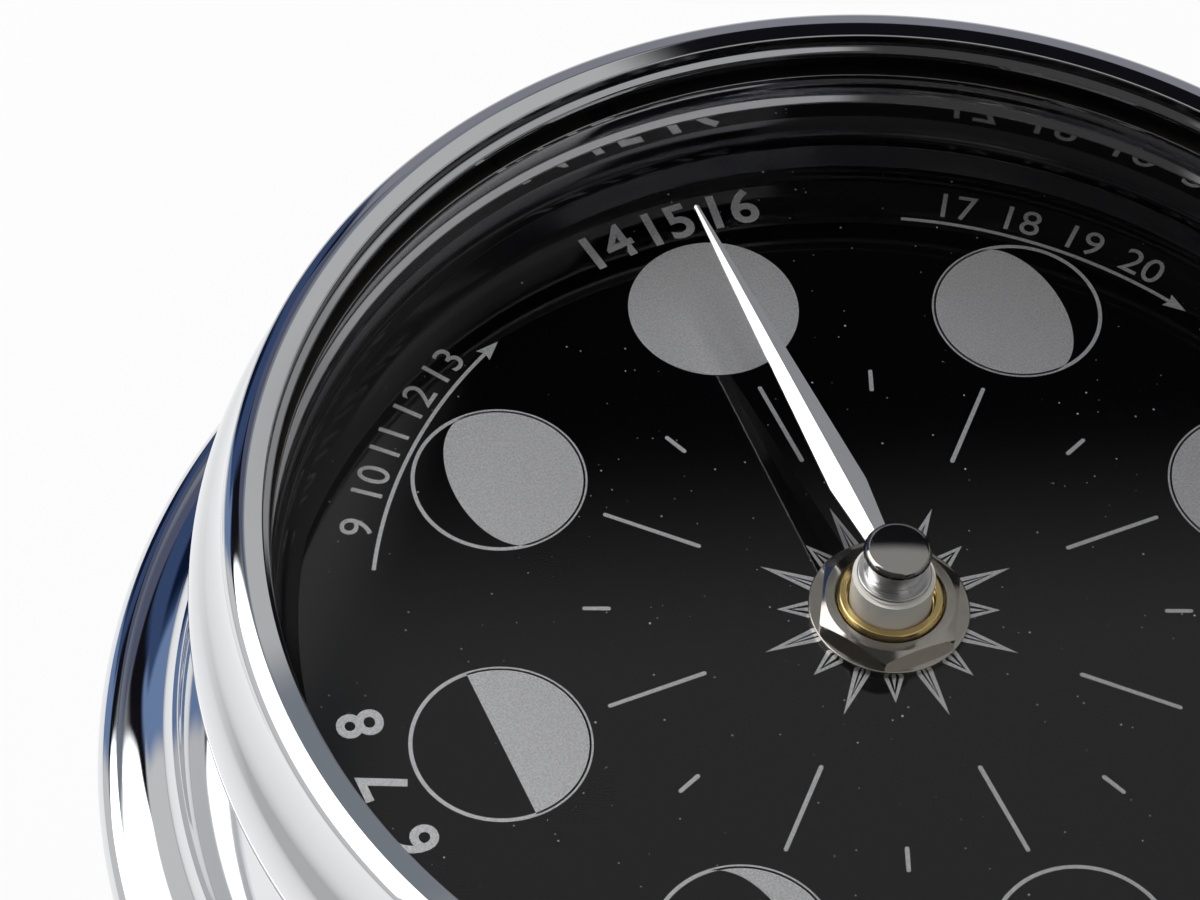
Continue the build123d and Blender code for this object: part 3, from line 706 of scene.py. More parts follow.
@dataclass(frozen=True)
class WoundCopper:
    """Enamelled copper wire in turns side by side along X, with painted shade in the grooves between
    the turns.
    """

    name: str
    colour: Colour
    wire: float
    # How dark the painted shade in the grooves between turns is.
    shade: float = 0.35
    mark: float = 0.6
    roughness: Point = (0.25, 0.4)

    def material(self) -> bpy.types.Material:
        """Make the material."""
        recipe = Recipe(self.name, Metallic=0.9)
        turns = recipe.waves(recipe.along_x(), self.wire)
        # Painted shade: the colour darkens towards the groove between two turns.
        recipe.colour(recipe.ranged(turns, (0, 1), (1, 0)), self.colour, self.shade)
        recipe.roughness(recipe.noise(self.mark), self.roughness)
        recipe.bump(turns, self.wire / 3)
        return recipe.material


@dataclass(frozen=True)
class CellJacket:
    """Printed sleeve of a dry cell: two plain bands along X and bare metal at the nub."""

    name: str
    body: Colour
    band: Colour
    band_from: float
    metallic: Point = (0.1, 0.9)
    mark: float = 3
    roughness: Point = (0.22, 0.34)

    def material(self) -> bpy.types.Material:
        """Make the material."""
        recipe = Recipe(self.name)
        share = recipe.math("GREATER_THAN", recipe.along_x(), self.band_from * MM)
        recipe.colour(share, self.body, self.band)
        recipe.feed("Metallic", recipe.ranged(share, (0, 1), self.metallic))
        recipe.roughness(recipe.noise(self.mark), self.roughness)
        return recipe.material


class Finish(Enum):
    """The finishes of this clock."""

    CASE_CHROME = PolishedMetal("case_chrome", (0.80, 0.81, 0.83))
    RING_CHROME = PolishedMetal("ring_chrome", (0.68, 0.68, 0.70))
    DARK_CHROME = PolishedMetal("dark_chrome", (0.13, 0.13, 0.14), (0.08, 0.16))
    CAP_NICKEL = PolishedMetal("cap_nickel", (0.52, 0.50, 0.47), (0.03, 0.07))
    # Dark turned metal whose dark colour is painted shade: it goes on the glass seat faces in the bezel
    # and on the retaining ring, in the cavity around the glass edge.
    HIDDEN_METAL = LatheTurnedMetal("hidden_metal", (0.10, 0.09, 0.08), 0.12, (0.45, 0.6), 0.001)
    NECK_NICKEL = PolishedMetal("neck_nickel", (0.86, 0.85, 0.83), (0.3, 0.42))
    HUB_NICKEL = LatheTurnedMetal("hub_nickel", (0.56, 0.53, 0.48), 0.06, (0.07, 0.17), 0.0002)
    BUSH_BRASS = LatheTurnedMetal("bush_brass", (0.93, 0.70, 0.28), 0.05, (0.1, 0.2))
    HAND_POLISHED = BrushedMetal("hand_polished", (0.95, 0.95, 0.96), (0.12, 0.2), 0.0002)
    HAND_BRUSHED = BrushedMetal("hand_brushed", (0.92, 0.93, 0.95), (0.42, 0.55), 0.002)
    DIAL_BLACK = BlackLacquer("dial_black", (0.0010, 0.0010, 0.0013), 0.8, 0.085)
    SILVER_INK = SilverInk("silver_ink", (0.86, 0.86, 0.87), 0.16)
    CLOCK_GLASS = ClearGlass("clock_glass")
    WHITE_PLASTIC = Moulded("white_plastic", (0.86, 0.84, 0.78), (0.3, 0.42), 0.3, 0.001, 0.3)
    BLACK_PLASTIC = Moulded("black_plastic", (0.018, 0.018, 0.02))
    KNOB_PLASTIC = Moulded("knob_plastic", (0.035, 0.035, 0.04), (0.4, 0.55))
    WASHER_RUBBER = Moulded("washer_rubber", (0.02, 0.02, 0.02), (0.6, 0.8), 0.15, 0.006)
    BOARD_LAMINATE = Moulded("board_laminate", (0.05, 0.22, 0.11), (0.3, 0.5), 0.8, 0.004)
    PLAIN_STEEL = PolishedMetal("plain_steel", (0.62, 0.62, 0.62), (0.18, 0.34))
    COIL_COPPER = WoundCopper("coil_copper", (0.85, 0.38, 0.2), 0.16)
    CELL_JACKET = CellJacket("cell_jacket", (0.03, 0.03, 0.035), (0.7, 0.45, 0.16), 14)


class FinishRack:
    """Makes each finish once and hands it out."""

    def __init__(self) -> None:
        """Start with an empty rack."""
        self.made: dict[Finish, bpy.types.Material] = {}

    def get(self, finish: Finish) -> bpy.types.Material:
        """Return the material of a finish, made on first use."""
        if finish not in self.made:
            self.made[finish] = finish.value.material()
        return self.made[finish]


RACK = FinishRack()


def dress(piece: Piece, *finishes: Finish) -> Piece:
    """Give a piece its finishes, in the order of its material slots."""
    piece.data.materials.clear()
    for finish in finishes:
        piece.data.materials.append(RACK.get(finish))
    return piece


def mount(piece: Piece, body: str, slot: str, *nodes: str) -> None:
    """Let a finished piece ride on a body and stand for CAD nodes.

    Args:
        piece: The finished piece.
        body: The CAD body that it moves with.
        slot: The record's material slot of the piece; not used.
        nodes: The CAD nodes that it replaces, if any.
    """
    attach(piece, body)
    if nodes:
        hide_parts(*nodes)
    log.info("%s rides on %s, %d faces", piece.name, body, len(piece.data.polygons))


def finish_inside(piece: Piece, slot: int, radius: float, low: float, high: float) -> None:
    """Give one of a turned ring's finishes to the faces of its inner side.

    Args:
        piece: The turned ring.
        slot: Which of its finishes.
        radius: The faces lie nearer to the axis than this.
        low: They lie above this height.
        high: They lie below this height.
    """
    for face in piece.data.polygons:
        near = math.hypot(face.center.x, face.center.y) < radius * MM
        if near and low * MM < face.center.z < high * MM:
            face.material_index = slot


# Sub-assemblies


@dataclass
class Case:
    """Case body and bezel: turned brass, chromed and polished."""

    bore: float = 48.0
    flange_low: float = 57.6
    flange_side: Point = (59.0, 1.5)
    dish_edge: Point = (57.4, 3.0)
    dish_middle: Point = (54.55, 3.85)
    foot: Point = (52.6, 6.5)
    waist: Point = (51.2, 13.332)
    top: Point = (50.4, 18.7)
    spigot_radius: float = 48.5
    spigot_top: float = 20.9
    bezel_bore: float = 47.5
    ledge_radius: float = 44.0
    ledge_top: float = 17.7
    ledge_low: float = 15.3
    fixing_circle: float = 55.0
    fixing_angles: tuple[float, ...] = (90, 210, 330)
    fixing_radius: float = 1.6
    fixing_head: float = 2.3
    fixing_seat: float = 3.8
    fixing_steps: int = 48
    bead: Point = (51.3, 22.151)
    bead_top: Point = (50.2, 25.602)
    slope: Point = (48.97, 28.01)
    bead_ease: float = 0.4
    crown_foot: Point = (48.5, 30.6)
    land_outer: Point = (46.9, 31.366)
    land_inner: Point = (45.6, 31.4)
    wall_foot: Point = (45.74, 30.2)
    shoulder: Point = (45.22, 29.9)
    glass_top: float = 29.4
    skirt_radius: float = 48.55
    skirt_top: float = 20.95
    corner_reach: float = 0.12
    clear: float = 0.02
    edge_steps: int = 14
    curve_steps: int = 22
    bead_steps: int = 36
    crown_steps: int = 20
    steps: int = 288

    def body(self) -> Piece:
        """Turn the case body and sink its fixing holes."""
        edge_low = (self.flange_low, 0.0)
        outline = [(self.bore, 0.0), edge_low]
        outline += arc(edge_low, self.flange_side, self.dish_edge, self.edge_steps)
        outline += arc(self.dish_edge, self.dish_middle, self.foot, self.curve_steps)
        outline += arc(self.foot, self.waist, self.top, self.curve_steps)
        outline += [
            (self.spigot_radius, self.top[1]),
            (self.spigot_radius, self.spigot_top),
            (self.bezel_bore, self.spigot_top),
            (self.bezel_bore, self.ledge_top),
            (self.ledge_radius, self.ledge_top),
            (self.ledge_radius, self.ledge_low),
            (self.bore, self.ledge_low),
        ]
        piece = Bench.turn("case_turned", softened(outline, self.corner_reach), self.steps)
        head_low = self.fixing_seat - (self.fixing_head - self.fixing_radius)
        low, high = -1.0, self.foot[1]
        sink = [
            (0.0, low),
            (self.fixing_radius, low),
            (self.fixing_radius, head_low),
            (self.fixing_head, self.fixing_seat),
            (self.fixing_head, high),
            (0.0, high),
        ]
        for angle in self.fixing_angles:
            centre = polar(self.fixing_circle, angle)
            tool = Bench.turn("fixing_sink", sink, self.fixing_steps, centre, from_axis=True)
            Bench.carve(piece, tool, "DIFFERENCE")
        bpy.ops.object.shade_smooth_by_angle(angle=math.radians(CREASE))
        return dress(piece, Finish.CASE_CHROME)

    def bezel(self) -> Piece:
        """Turn the bezel: bead, slope, crown, land, inner wall and its foot on the glass."""
        crown = (self.land_outer[0], self.crown_foot[1])
        across, up = self.crown_foot[0] - crown[0], self.land_outer[1] - crown[1]
        bead = [self.top, *arc(self.top, self.bead, self.bead_top, self.bead_steps)]
        slope = arc(self.bead_top, self.slope, self.crown_foot, self.curve_steps)
        outline = eased(bead + slope, bead[-1], self.bead_ease)
        outline += quarter(crown, across, up, self.crown_steps)[1:]
        outline += [
            self.land_inner,
            self.wall_foot,
            self.shoulder,
            (self.shoulder[0], self.glass_top),
            (self.bezel_bore, self.glass_top),
            (self.bezel_bore, self.skirt_top),
            (self.skirt_radius, self.skirt_top),
            (self.skirt_radius, self.top[1]),
        ]
        piece = Bench.turn("bezel_turned", softened(outline, self.corner_reach), self.steps)
        dress(piece, Finish.CASE_CHROME, Finish.HIDDEN_METAL, Finish.DARK_CHROME)
        # The glass seat inside the bezel takes the dark finish: painted shade for the cavity around the
        # glass edge.
        seat_radius, seat_high = self.bezel_bore + self.clear, self.glass_top + self.clear
        finish_inside(piece, 1, seat_radius, self.skirt_top, seat_high)
        wall_radius, wall_high = self.wall_foot[0] + self.clear, self.land_inner[1] - self.corner_reach
        finish_inside(piece, 2, wall_radius, self.wall_foot[1], wall_high)
        return piece

    def build(self) -> None:
        """Make and mount both pieces."""
        mount(self.body(), "case", "case_chrome", "case_body")
        mount(self.bezel(), "case", "case_chrome", "bezel")


@dataclass
class GlassStack:
    """Glass, the ring that holds it up and the ring that meets the dial."""

    glass_radius: float = 47.0
    glass_low: float = 27.4
    glass_top: float = 29.4
    glass_bevel: float = 0.35
    ring_outer: float = 47.45
    lip: Point = (45.15, 27.0)
    retainer_low: float = 22.4
    retainer_hollow: Point = (45.9, 24.35)
    retainer_curve: Point = (45.66, 25.7)
    retainer_foot: Point = (45.32, 24.02)
    dial_ring_foot: Point = (43.4, 18.5)
    dial_ring_neck: Point = (44.3, 20.1)
    dial_ring_curve: Point = (44.66, 21.43)
    dial_ring_top: Point = (45.5, 22.4)
    corner_reach: float = 0.08
    clear: float = 0.01
    curve_steps: int = 14
    steps: int = 256

    def glass(self) -> Piece:
        """Turn the flat glass with its bevelled edges."""
        edge = self.glass_radius - self.glass_bevel
        outline = [
            (0.0, self.glass_low),
            (edge, self.glass_low),
            (self.glass_radius, self.glass_low + self.glass_bevel),
            (self.glass_radius, self.glass_top - self.glass_bevel),
            (edge, self.glass_top),
            (0.0, self.glass_top),
        ]
        piece = Bench.turn("glass_crystal", outline, self.steps, from_axis=True)
        return dress(piece, Finish.CLOCK_GLASS)

    def retainer(self) -> Piece:
        """Turn the ring under the glass, which widens towards its foot."""
        outline = [self.retainer_foot, self.retainer_hollow]
        outline += arc(self.retainer_hollow, self.retainer_curve, self.lip, self.curve_steps)
        outline += [
            (self.lip[0], self.glass_low),
            (self.ring_outer, self.glass_low),
            (self.ring_outer, self.retainer_low),
            (self.retainer_foot[0], self.retainer_low),
        ]
        piece = Bench.turn("glass_ring_turned", softened(outline, self.corner_reach), self.steps)
        dress(piece, Finish.RING_CHROME, Finish.HIDDEN_METAL)
        # The ring's top face under the glass edge takes the dark finish: painted shade for the cavity
        # around the glass edge.
        low, high = self.glass_low - self.clear, self.glass_low + self.clear
        finish_inside(piece, 1, self.ring_outer, low, high)
        return piece

    def dial_ring(self) -> Piece:
        """Turn the sloped wall that mirrors the dial."""
        outline = [self.dial_ring_foot, self.dial_ring_neck]
        outline += arc(
            self.dial_ring_neck, self.dial_ring_curve, self.dial_ring_top, self.curve_steps
        )
        outline += [(self.ring_outer, self.dial_ring_top[1]), (self.ring_outer, self.dial_ring_foot[1])]
        piece = Bench.turn("dial_ring_turned", softened(outline, self.corner_reach), self.steps)
        return dress(piece, Finish.DARK_CHROME)

    def build(self) -> None:
        """Make and mount the three pieces."""
        mount(self.glass(), "case", "clock_glass", "glass")
        mount(self.retainer(), "case", "ring_chrome", "glass_retaining_ring")
        mount(self.dial_ring(), "case", "ring_chrome", "dial_ring")


class Phase(Enum):
    """The eight moons: angle, which side is lit, and the terminator's share of the radius."""

    FULL = (90, 1, 1.0)
    WANING_GIBBOUS = (45, -1, 0.56)
    LAST_QUARTER = (0, -1, 0.0)
    WANING_CRESCENT = (315, -1, -0.56)
    NEW = (270, 1, None)
    WAXING_CRESCENT = (225, 1, -0.56)
    FIRST_QUARTER = (180, 1, 0.0)
    WAXING_GIBBOUS = (135, 1, 0.56)


@dataclass(frozen=True)
class Figures:
    """Numbers of one size, in rows that each have the angle of their middle."""

    base: float
    height: float
    weight: float
    half_sweep: float
    rows: tuple[tuple[float, tuple[int, ...]], ...]


PLAIN_DAYS = Figures(
    base=38.75,
    height=2.5,
    weight=0.0,
    half_sweep=15.0,
    rows=(
        (135, (9, 10, 11, 12, 13)),
        (45, (17, 18, 19, 20)),
        (315, (24, 25, 26, 27, 28)),
        (225, (2, 3, 4, 5)),
    ),
)
QUARTER_DAYS = Figures(
    base=38.5,
    height=3.3,
    weight=0.09,
    half_sweep=11.5,
    rows=((90, (14, 15, 16)), (0, (21, 22, 23)), (270, (29, 0, 1)), (180, (6, 7, 8))),
)


@dataclass
class Dial:
    """Black dial with its silver print, each printed place a thin raised plate."""

    radius: float = 47.2
    bore: float = 4.05
    low: float = 17.7
    face: float = 18.5
    steps: int = 192
    ink: float = 0.03
    moon_circle: float = 31.0
    moon_radius: float = 6.65
    moon_steps: int = 128
    line: float = 0.3
    mark_width: float = 0.34
    mark_steps: int = 16
    long_mark: Point = (14.8, 22.6)
    short_mark: Point = (20.5, 22.6)
    ray_root: float = 4.6
    long_ray: tuple[float, float, float, float] = (10.06, 0.62, 8.6, 0.27)
    short_ray: tuple[float, float, float, float] = (8.26, 0.74, 7.6, 0.42)
    ray_core_share: float = 0.45
    ray_core_reach: float = 0.86
    hub_radius: float = 6.0
    arrow_radius: float = 38.1
    arrow_half_sweep: float = 17.4
    arrow_head: Point = (1.8, 0.66)
    arrow_notch: float = 1.8 / 2.6
    arrow_steps: int = 36
    between: float = 22.5
    figures: tuple[Figures, ...] = (PLAIN_DAYS, QUARTER_DAYS)
    figure_share: float = 0.7
    figure_steps: int = 4

    def plate(self) -> Piece:
        """Turn the dial plate."""
        outline = block(self.bore, self.radius, self.low, self.face)
        return dress(Bench.turn("dial_plate", outline, self.steps), Finish.DIAL_BLACK)

    def thicken(self, piece: Piece) -> Piece:
        """Raise a flat printed face by the ink's thickness and close it."""
        bpy.ops.mesh.select_all(action="SELECT")
        step = (0, 0, self.ink * MM)
        bpy.ops.mesh.extrude_region_move(TRANSFORM_OT_translate={"value": step})
        Bench.mend()
        return Bench.settle(piece)

    def flat(self, name: str, corners: Sequence[Point]) -> Piece:
        """Draw a filled outline on the dial's face and thicken it."""
        piece = Bench.draw(name, [(x, y, self.face) for x, y in corners], closed=True)
        bpy.ops.mesh.edge_face_add()
        return self.thicken(piece)

    def disc(self, name: str, centre: Point, radius: float, steps: int) -> Piece:
        """Draw a filled circle on the dial's face, and stay in edit mode."""
        Bench.clear()
        place = Vector((*centre, self.face)) * MM
        bpy.ops.mesh.primitive_circle_add(
            vertices=steps, radius=radius * MM, fill_type="NGON", location=place
        )
        piece = Bench.adopt(name)
        bpy.ops.object.mode_set(mode="EDIT")
        return piece

    def moon(self, phase: Phase) -> list[Piece]:
        """Print one moon: its outline and its lit part.

        Args:
            phase: Which moon.

        Returns:
            The printed plates.
        """
        angle, side, share = phase.value
        centre = polar(self.moon_circle, angle)
        name = phase.name.lower()
        radius, under = self.moon_radius, 0.0
        made = []
        if phase is not Phase.FULL:
            ring = block(radius - self.line, radius, self.face, self.face + self.ink)
            made.append(Bench.turn(f"{name}_outline", ring, self.moon_steps, centre))
            under = self.line / 2
        if share is not None:
            lit = self.disc(f"{name}_lit", centre, radius - under, self.moon_steps)
            if share < 1:
                middle = Vector((*centre, self.face)) * MM
                edge = centre[0] * MM
                Bench.choose(lit, "VERT", lambda v: (v.co.x - edge) * side < -MM / 100)
                bpy.ops.transform.resize(value=(share, 1, 1), center_override=middle)
            made.append(self.thicken(lit))
        return made

    def mark(self, reach: Point) -> Piece:
        """Print one round-ended mark along +X."""
        half = self.mark_width / 2
        middle = reach[0] + half
        piece = self.disc("mark", (middle, 0), half, self.mark_steps)
        Bench.choose(piece, "VERT", lambda v: v.co.x > (middle + half / 10) * MM)
        step = ((reach[1] - reach[0] - self.mark_width) * MM, 0, 0)
        bpy.ops.transform.translate(value=step)
        return self.thicken(piece)

    def ray(self, sizes: tuple[float, float, float, float]) -> list[Piece]:
        """Print one ray of the star along +X: a split outline and a slim core.

        Args:
            sizes: Tip radius and half-width at the hub, of the outside and of the gap.

        Returns:
            The printed plates.
        """
        tip, half, gap_tip, gap_half = sizes
        root = self.ray_root

        def width(end: float, at_hub: float) -> float:
            """Half-width at the ray's root, hidden under the washer."""
            return at_hub * (end - root) / (end - self.hub_radius)

        outer, gap = width(tip, half), width(gap_tip, gap_half)
        core = gap * self.ray_core_share
        core_tip = root + (gap_tip - root) * self.ray_core_reach
        frame_side = [(root, gap), (gap_tip, 0.0), (tip, 0.0), (root, outer)]
        mirrored = [(x, -y) for x, y in reversed(frame_side)]
        return [
            self.flat("ray_upper", frame_side),
            self.flat("ray_lower", mirrored),
            self.flat("ray_core", [(root, -core), (core_tip, 0.0), (root, core)]),
        ]

    def star(self) -> Piece:
        """Print the sixteen-pointed star around the hub."""
        made = []
        for sizes, first in ((self.long_ray, 0.0), (self.short_ray, self.between)):
            for part in self.ray(sizes):
                made += Bench.turned_copies(part, [first + turn for turn in EIGHTHS])
        return Bench.joined(made, "print_star")

    def arrow(self) -> Piece:
        """Print one arrow along its arc, with its head at the clockwise end."""
        half, radius = self.line / 2, self.arrow_radius
        ring = block(radius - half, radius + half, self.face, self.face + self.ink)
        shaft = Bench.draw("arrow_shaft", [(across, 0.0, up) for across, up in ring], closed=True)
        half_sweep = math.radians(self.arrow_half_sweep)
        back = self.arrow_notch / radius
        sweep = 2 * half_sweep - back
        bpy.ops.mesh.spin(steps=self.arrow_steps, angle=sweep, center=(0, 0, 0), axis=(0, 0, 1))
        bpy.ops.mesh.select_all(action="SELECT")
        bpy.ops.mesh.fill_holes(sides=4)
        Bench.mend()
        Bench.settle(shaft)
        reach = [vertex.co.y for vertex in shaft.data.vertices]
        turn = back - half_sweep if max(reach) > -min(reach) else half_sweep
        shaft.data.transform(Matrix.Rotation(turn, 4, "Z"))
        length, width = self.arrow_head
        corners = [
            (radius, -length / 2),
            (radius + width, length / 2),
            (radius + half, self.arrow_notch),
            (radius - half, self.arrow_notch),
            (radius - width, length / 2),
        ]
        head = self.flat("arrow_head", corners)
        head.data.transform(Matrix.Rotation(-half_sweep, 4, "Z"))
        return Bench.joined([shaft, head], "arrow")

    def numeral(self, number: int, figures: Figures, angle: float) -> Piece:
        """Print one plain number with its top facing outwards.

        Args:
            number: What it says.
            figures: Its size and place.
            angle: Angle of its middle.

        Returns:
            The printed plate.
        """
        Bench.clear()
        bpy.ops.object.text_add()
        piece = bpy.context.object
        piece.name = f"day_{number}"
        piece.data.body = str(number)
        piece.data.size = figures.height * MM / self.figure_share
        piece.data.align_x = "CENTER"
        piece.data.resolution_u = self.figure_steps
        piece.data.offset = figures.weight * MM
        piece.data.extrude = self.ink * MM / 2
        bpy.ops.object.convert(target="MESH")
        bpy.ops.object.mode_set(mode="EDIT")
        Bench.mend()
        Bench.settle(piece)
        lift = Matrix.Translation(Vector((0, figures.base, self.face + self.ink / 2)) * MM)
        piece.data.transform(Matrix.Rotation(math.radians(angle - 90), 4, "Z") @ lift)
        return piece

    def numbers(self) -> Piece:
        """Print the moon's age in days around the dial."""
        made = []
        for figures in self.figures:
            for middle, days in figures.rows:
                step = 2 * figures.half_sweep / len(days)
                for index, day in enumerate(days):
                    angle = middle + figures.half_sweep - step * (index + 0.5)
                    made.append(self.numeral(day, figures, angle))
        return Bench.joined(made, "print_numbers")

    def build(self) -> None:
        """Make and mount the plate and all that is printed on it."""
        mount(self.plate(), "case", "dial_black", "dial")
        moons = [part for phase in Phase for part in self.moon(phase)]
        marks = Bench.turned_copies(self.mark(self.long_mark), EIGHTHS)
        between = [turn + self.between for turn in EIGHTHS]
        marks += Bench.turned_copies(self.mark(self.short_mark), between)
        arrows = Bench.turned_copies(self.arrow(), EIGHTHS[1::2])
        printed = [
            Bench.joined(moons, "print_moons"),
            Bench.joined(marks, "print_marks"),
            self.star(),
            Bench.joined(arrows, "print_arrows"),
            self.numbers(),
        ]
        for piece in printed:
            dress(piece, Finish.SILVER_INK)
            mount(piece, "case", "hand_silver")


@dataclass
class Hub:
    """Washer, hex nut and brass bush that clamp the dial to the movement."""

    face: float = 18.5
    bore: float = 4.05
    washer_radius: float = 6.0
    washer_top: float = 19.0
    washer_edge: float = 0.1
    nut_flat: float = 5.0
    nut_top: float = 20.15
    nut_bevel: float = 0.35
    nut_corner: float = 0.16
    nut_lip: float = 0.06
    nut_mouth: float = 0.1
    nut_over: float = 0.002
    nut_crease: float = 12
    bush_radius: float = 4.0
    bush_top: float = 20.55
    bush_bevel: float = 0.2
    bush_bore: float = 3.1
    bush_mouth: Point = (3.3, 19.65)
    bush_low: float = 14.8
    bush_flange: Point = (5.2, 15.6)
    bush_edge: float = 0.07
    steps: int = 128

    def washer(self) -> Piece:
        """Turn the flat washer."""
        outline = block(self.bore, self.washer_radius, self.face, self.washer_top)
        piece = Bench.turn("washer_turned", softened(outline, self.washer_edge), self.steps)
        return dress(piece, Finish.HUB_NICKEL)

    def nut(self) -> Piece:
        """Cut the hex nut: a prism with rounded corners inside a turned chamfer."""
        Bench.clear()
        half_side = math.radians(30)
        corner = self.nut_flat / math.cos(half_side)
        depth = self.nut_top - self.washer_top
        middle = Vector((0, 0, self.washer_top + depth / 2)) * MM
        bpy.ops.mesh.primitive_cylinder_add(
            vertices=6, radius=corner * MM, depth=depth * MM, location=middle,
            rotation=(0, 0, half_side),
        )
        piece = Bench.adopt("nut_cut")
        bpy.ops.object.mode_set(mode="EDIT")
        Bench.choose(piece, "EDGE", lambda e: abs(e.verts[0].co.z - e.verts[1].co.z) > MM / 10)
        bpy.ops.mesh.bevel(offset=self.nut_corner * MM, segments=3)
        bpy.ops.object.mode_set(mode="OBJECT")
        turned = self.nut_flat - self.nut_bevel / 2
        reach, low, over = corner + 1, self.washer_top - 1, self.nut_top + self.nut_over
        outline = [
            (self.bore, low),
            (reach, low),
            (reach, self.nut_top - (reach - turned) / 2),
            (turned, self.nut_top),
            (turned - self.nut_lip, over),
            (self.bore + self.nut_mouth, over),
            (self.bore, self.nut_top - self.nut_mouth),
        ]
        Bench.carve(piece, Bench.turn("nut_turning", outline, self.steps), "INTERSECT")
        bpy.ops.object.shade_smooth_by_angle(angle=math.radians(self.nut_crease))
        return dress(piece, Finish.HUB_NICKEL)

    def bush(self) -> Piece:
        """Turn the threaded bush with its bevelled mouth."""
        outline = [
            (self.bush_bore, self.bush_low),
            (self.bush_flange[0], self.bush_low),
            self.bush_flange,
            (self.bush_radius, self.bush_flange[1]),
            (self.bush_radius, self.bush_top - self.bush_bevel),
            (self.bush_radius - self.bush_bevel, self.bush_top),
            (self.bush_mouth[0], self.bush_top),
            self.bush_mouth,
            (self.bush_bore, self.bush_mouth[1]),
        ]
        piece = Bench.turn("bush_turned", softened(outline, self.bush_edge), self.steps)
        return dress(piece, Finish.BUSH_BRASS)

    def build(self) -> None:
        """Make and mount the three pieces."""
        mount(self.washer(), "case", "hub_chrome", "hub_washer")
        mount(self.nut(), "case", "hub_chrome", "hub_nut")
        mount(self.bush(), "case", "bush_brass", "threaded_bush")


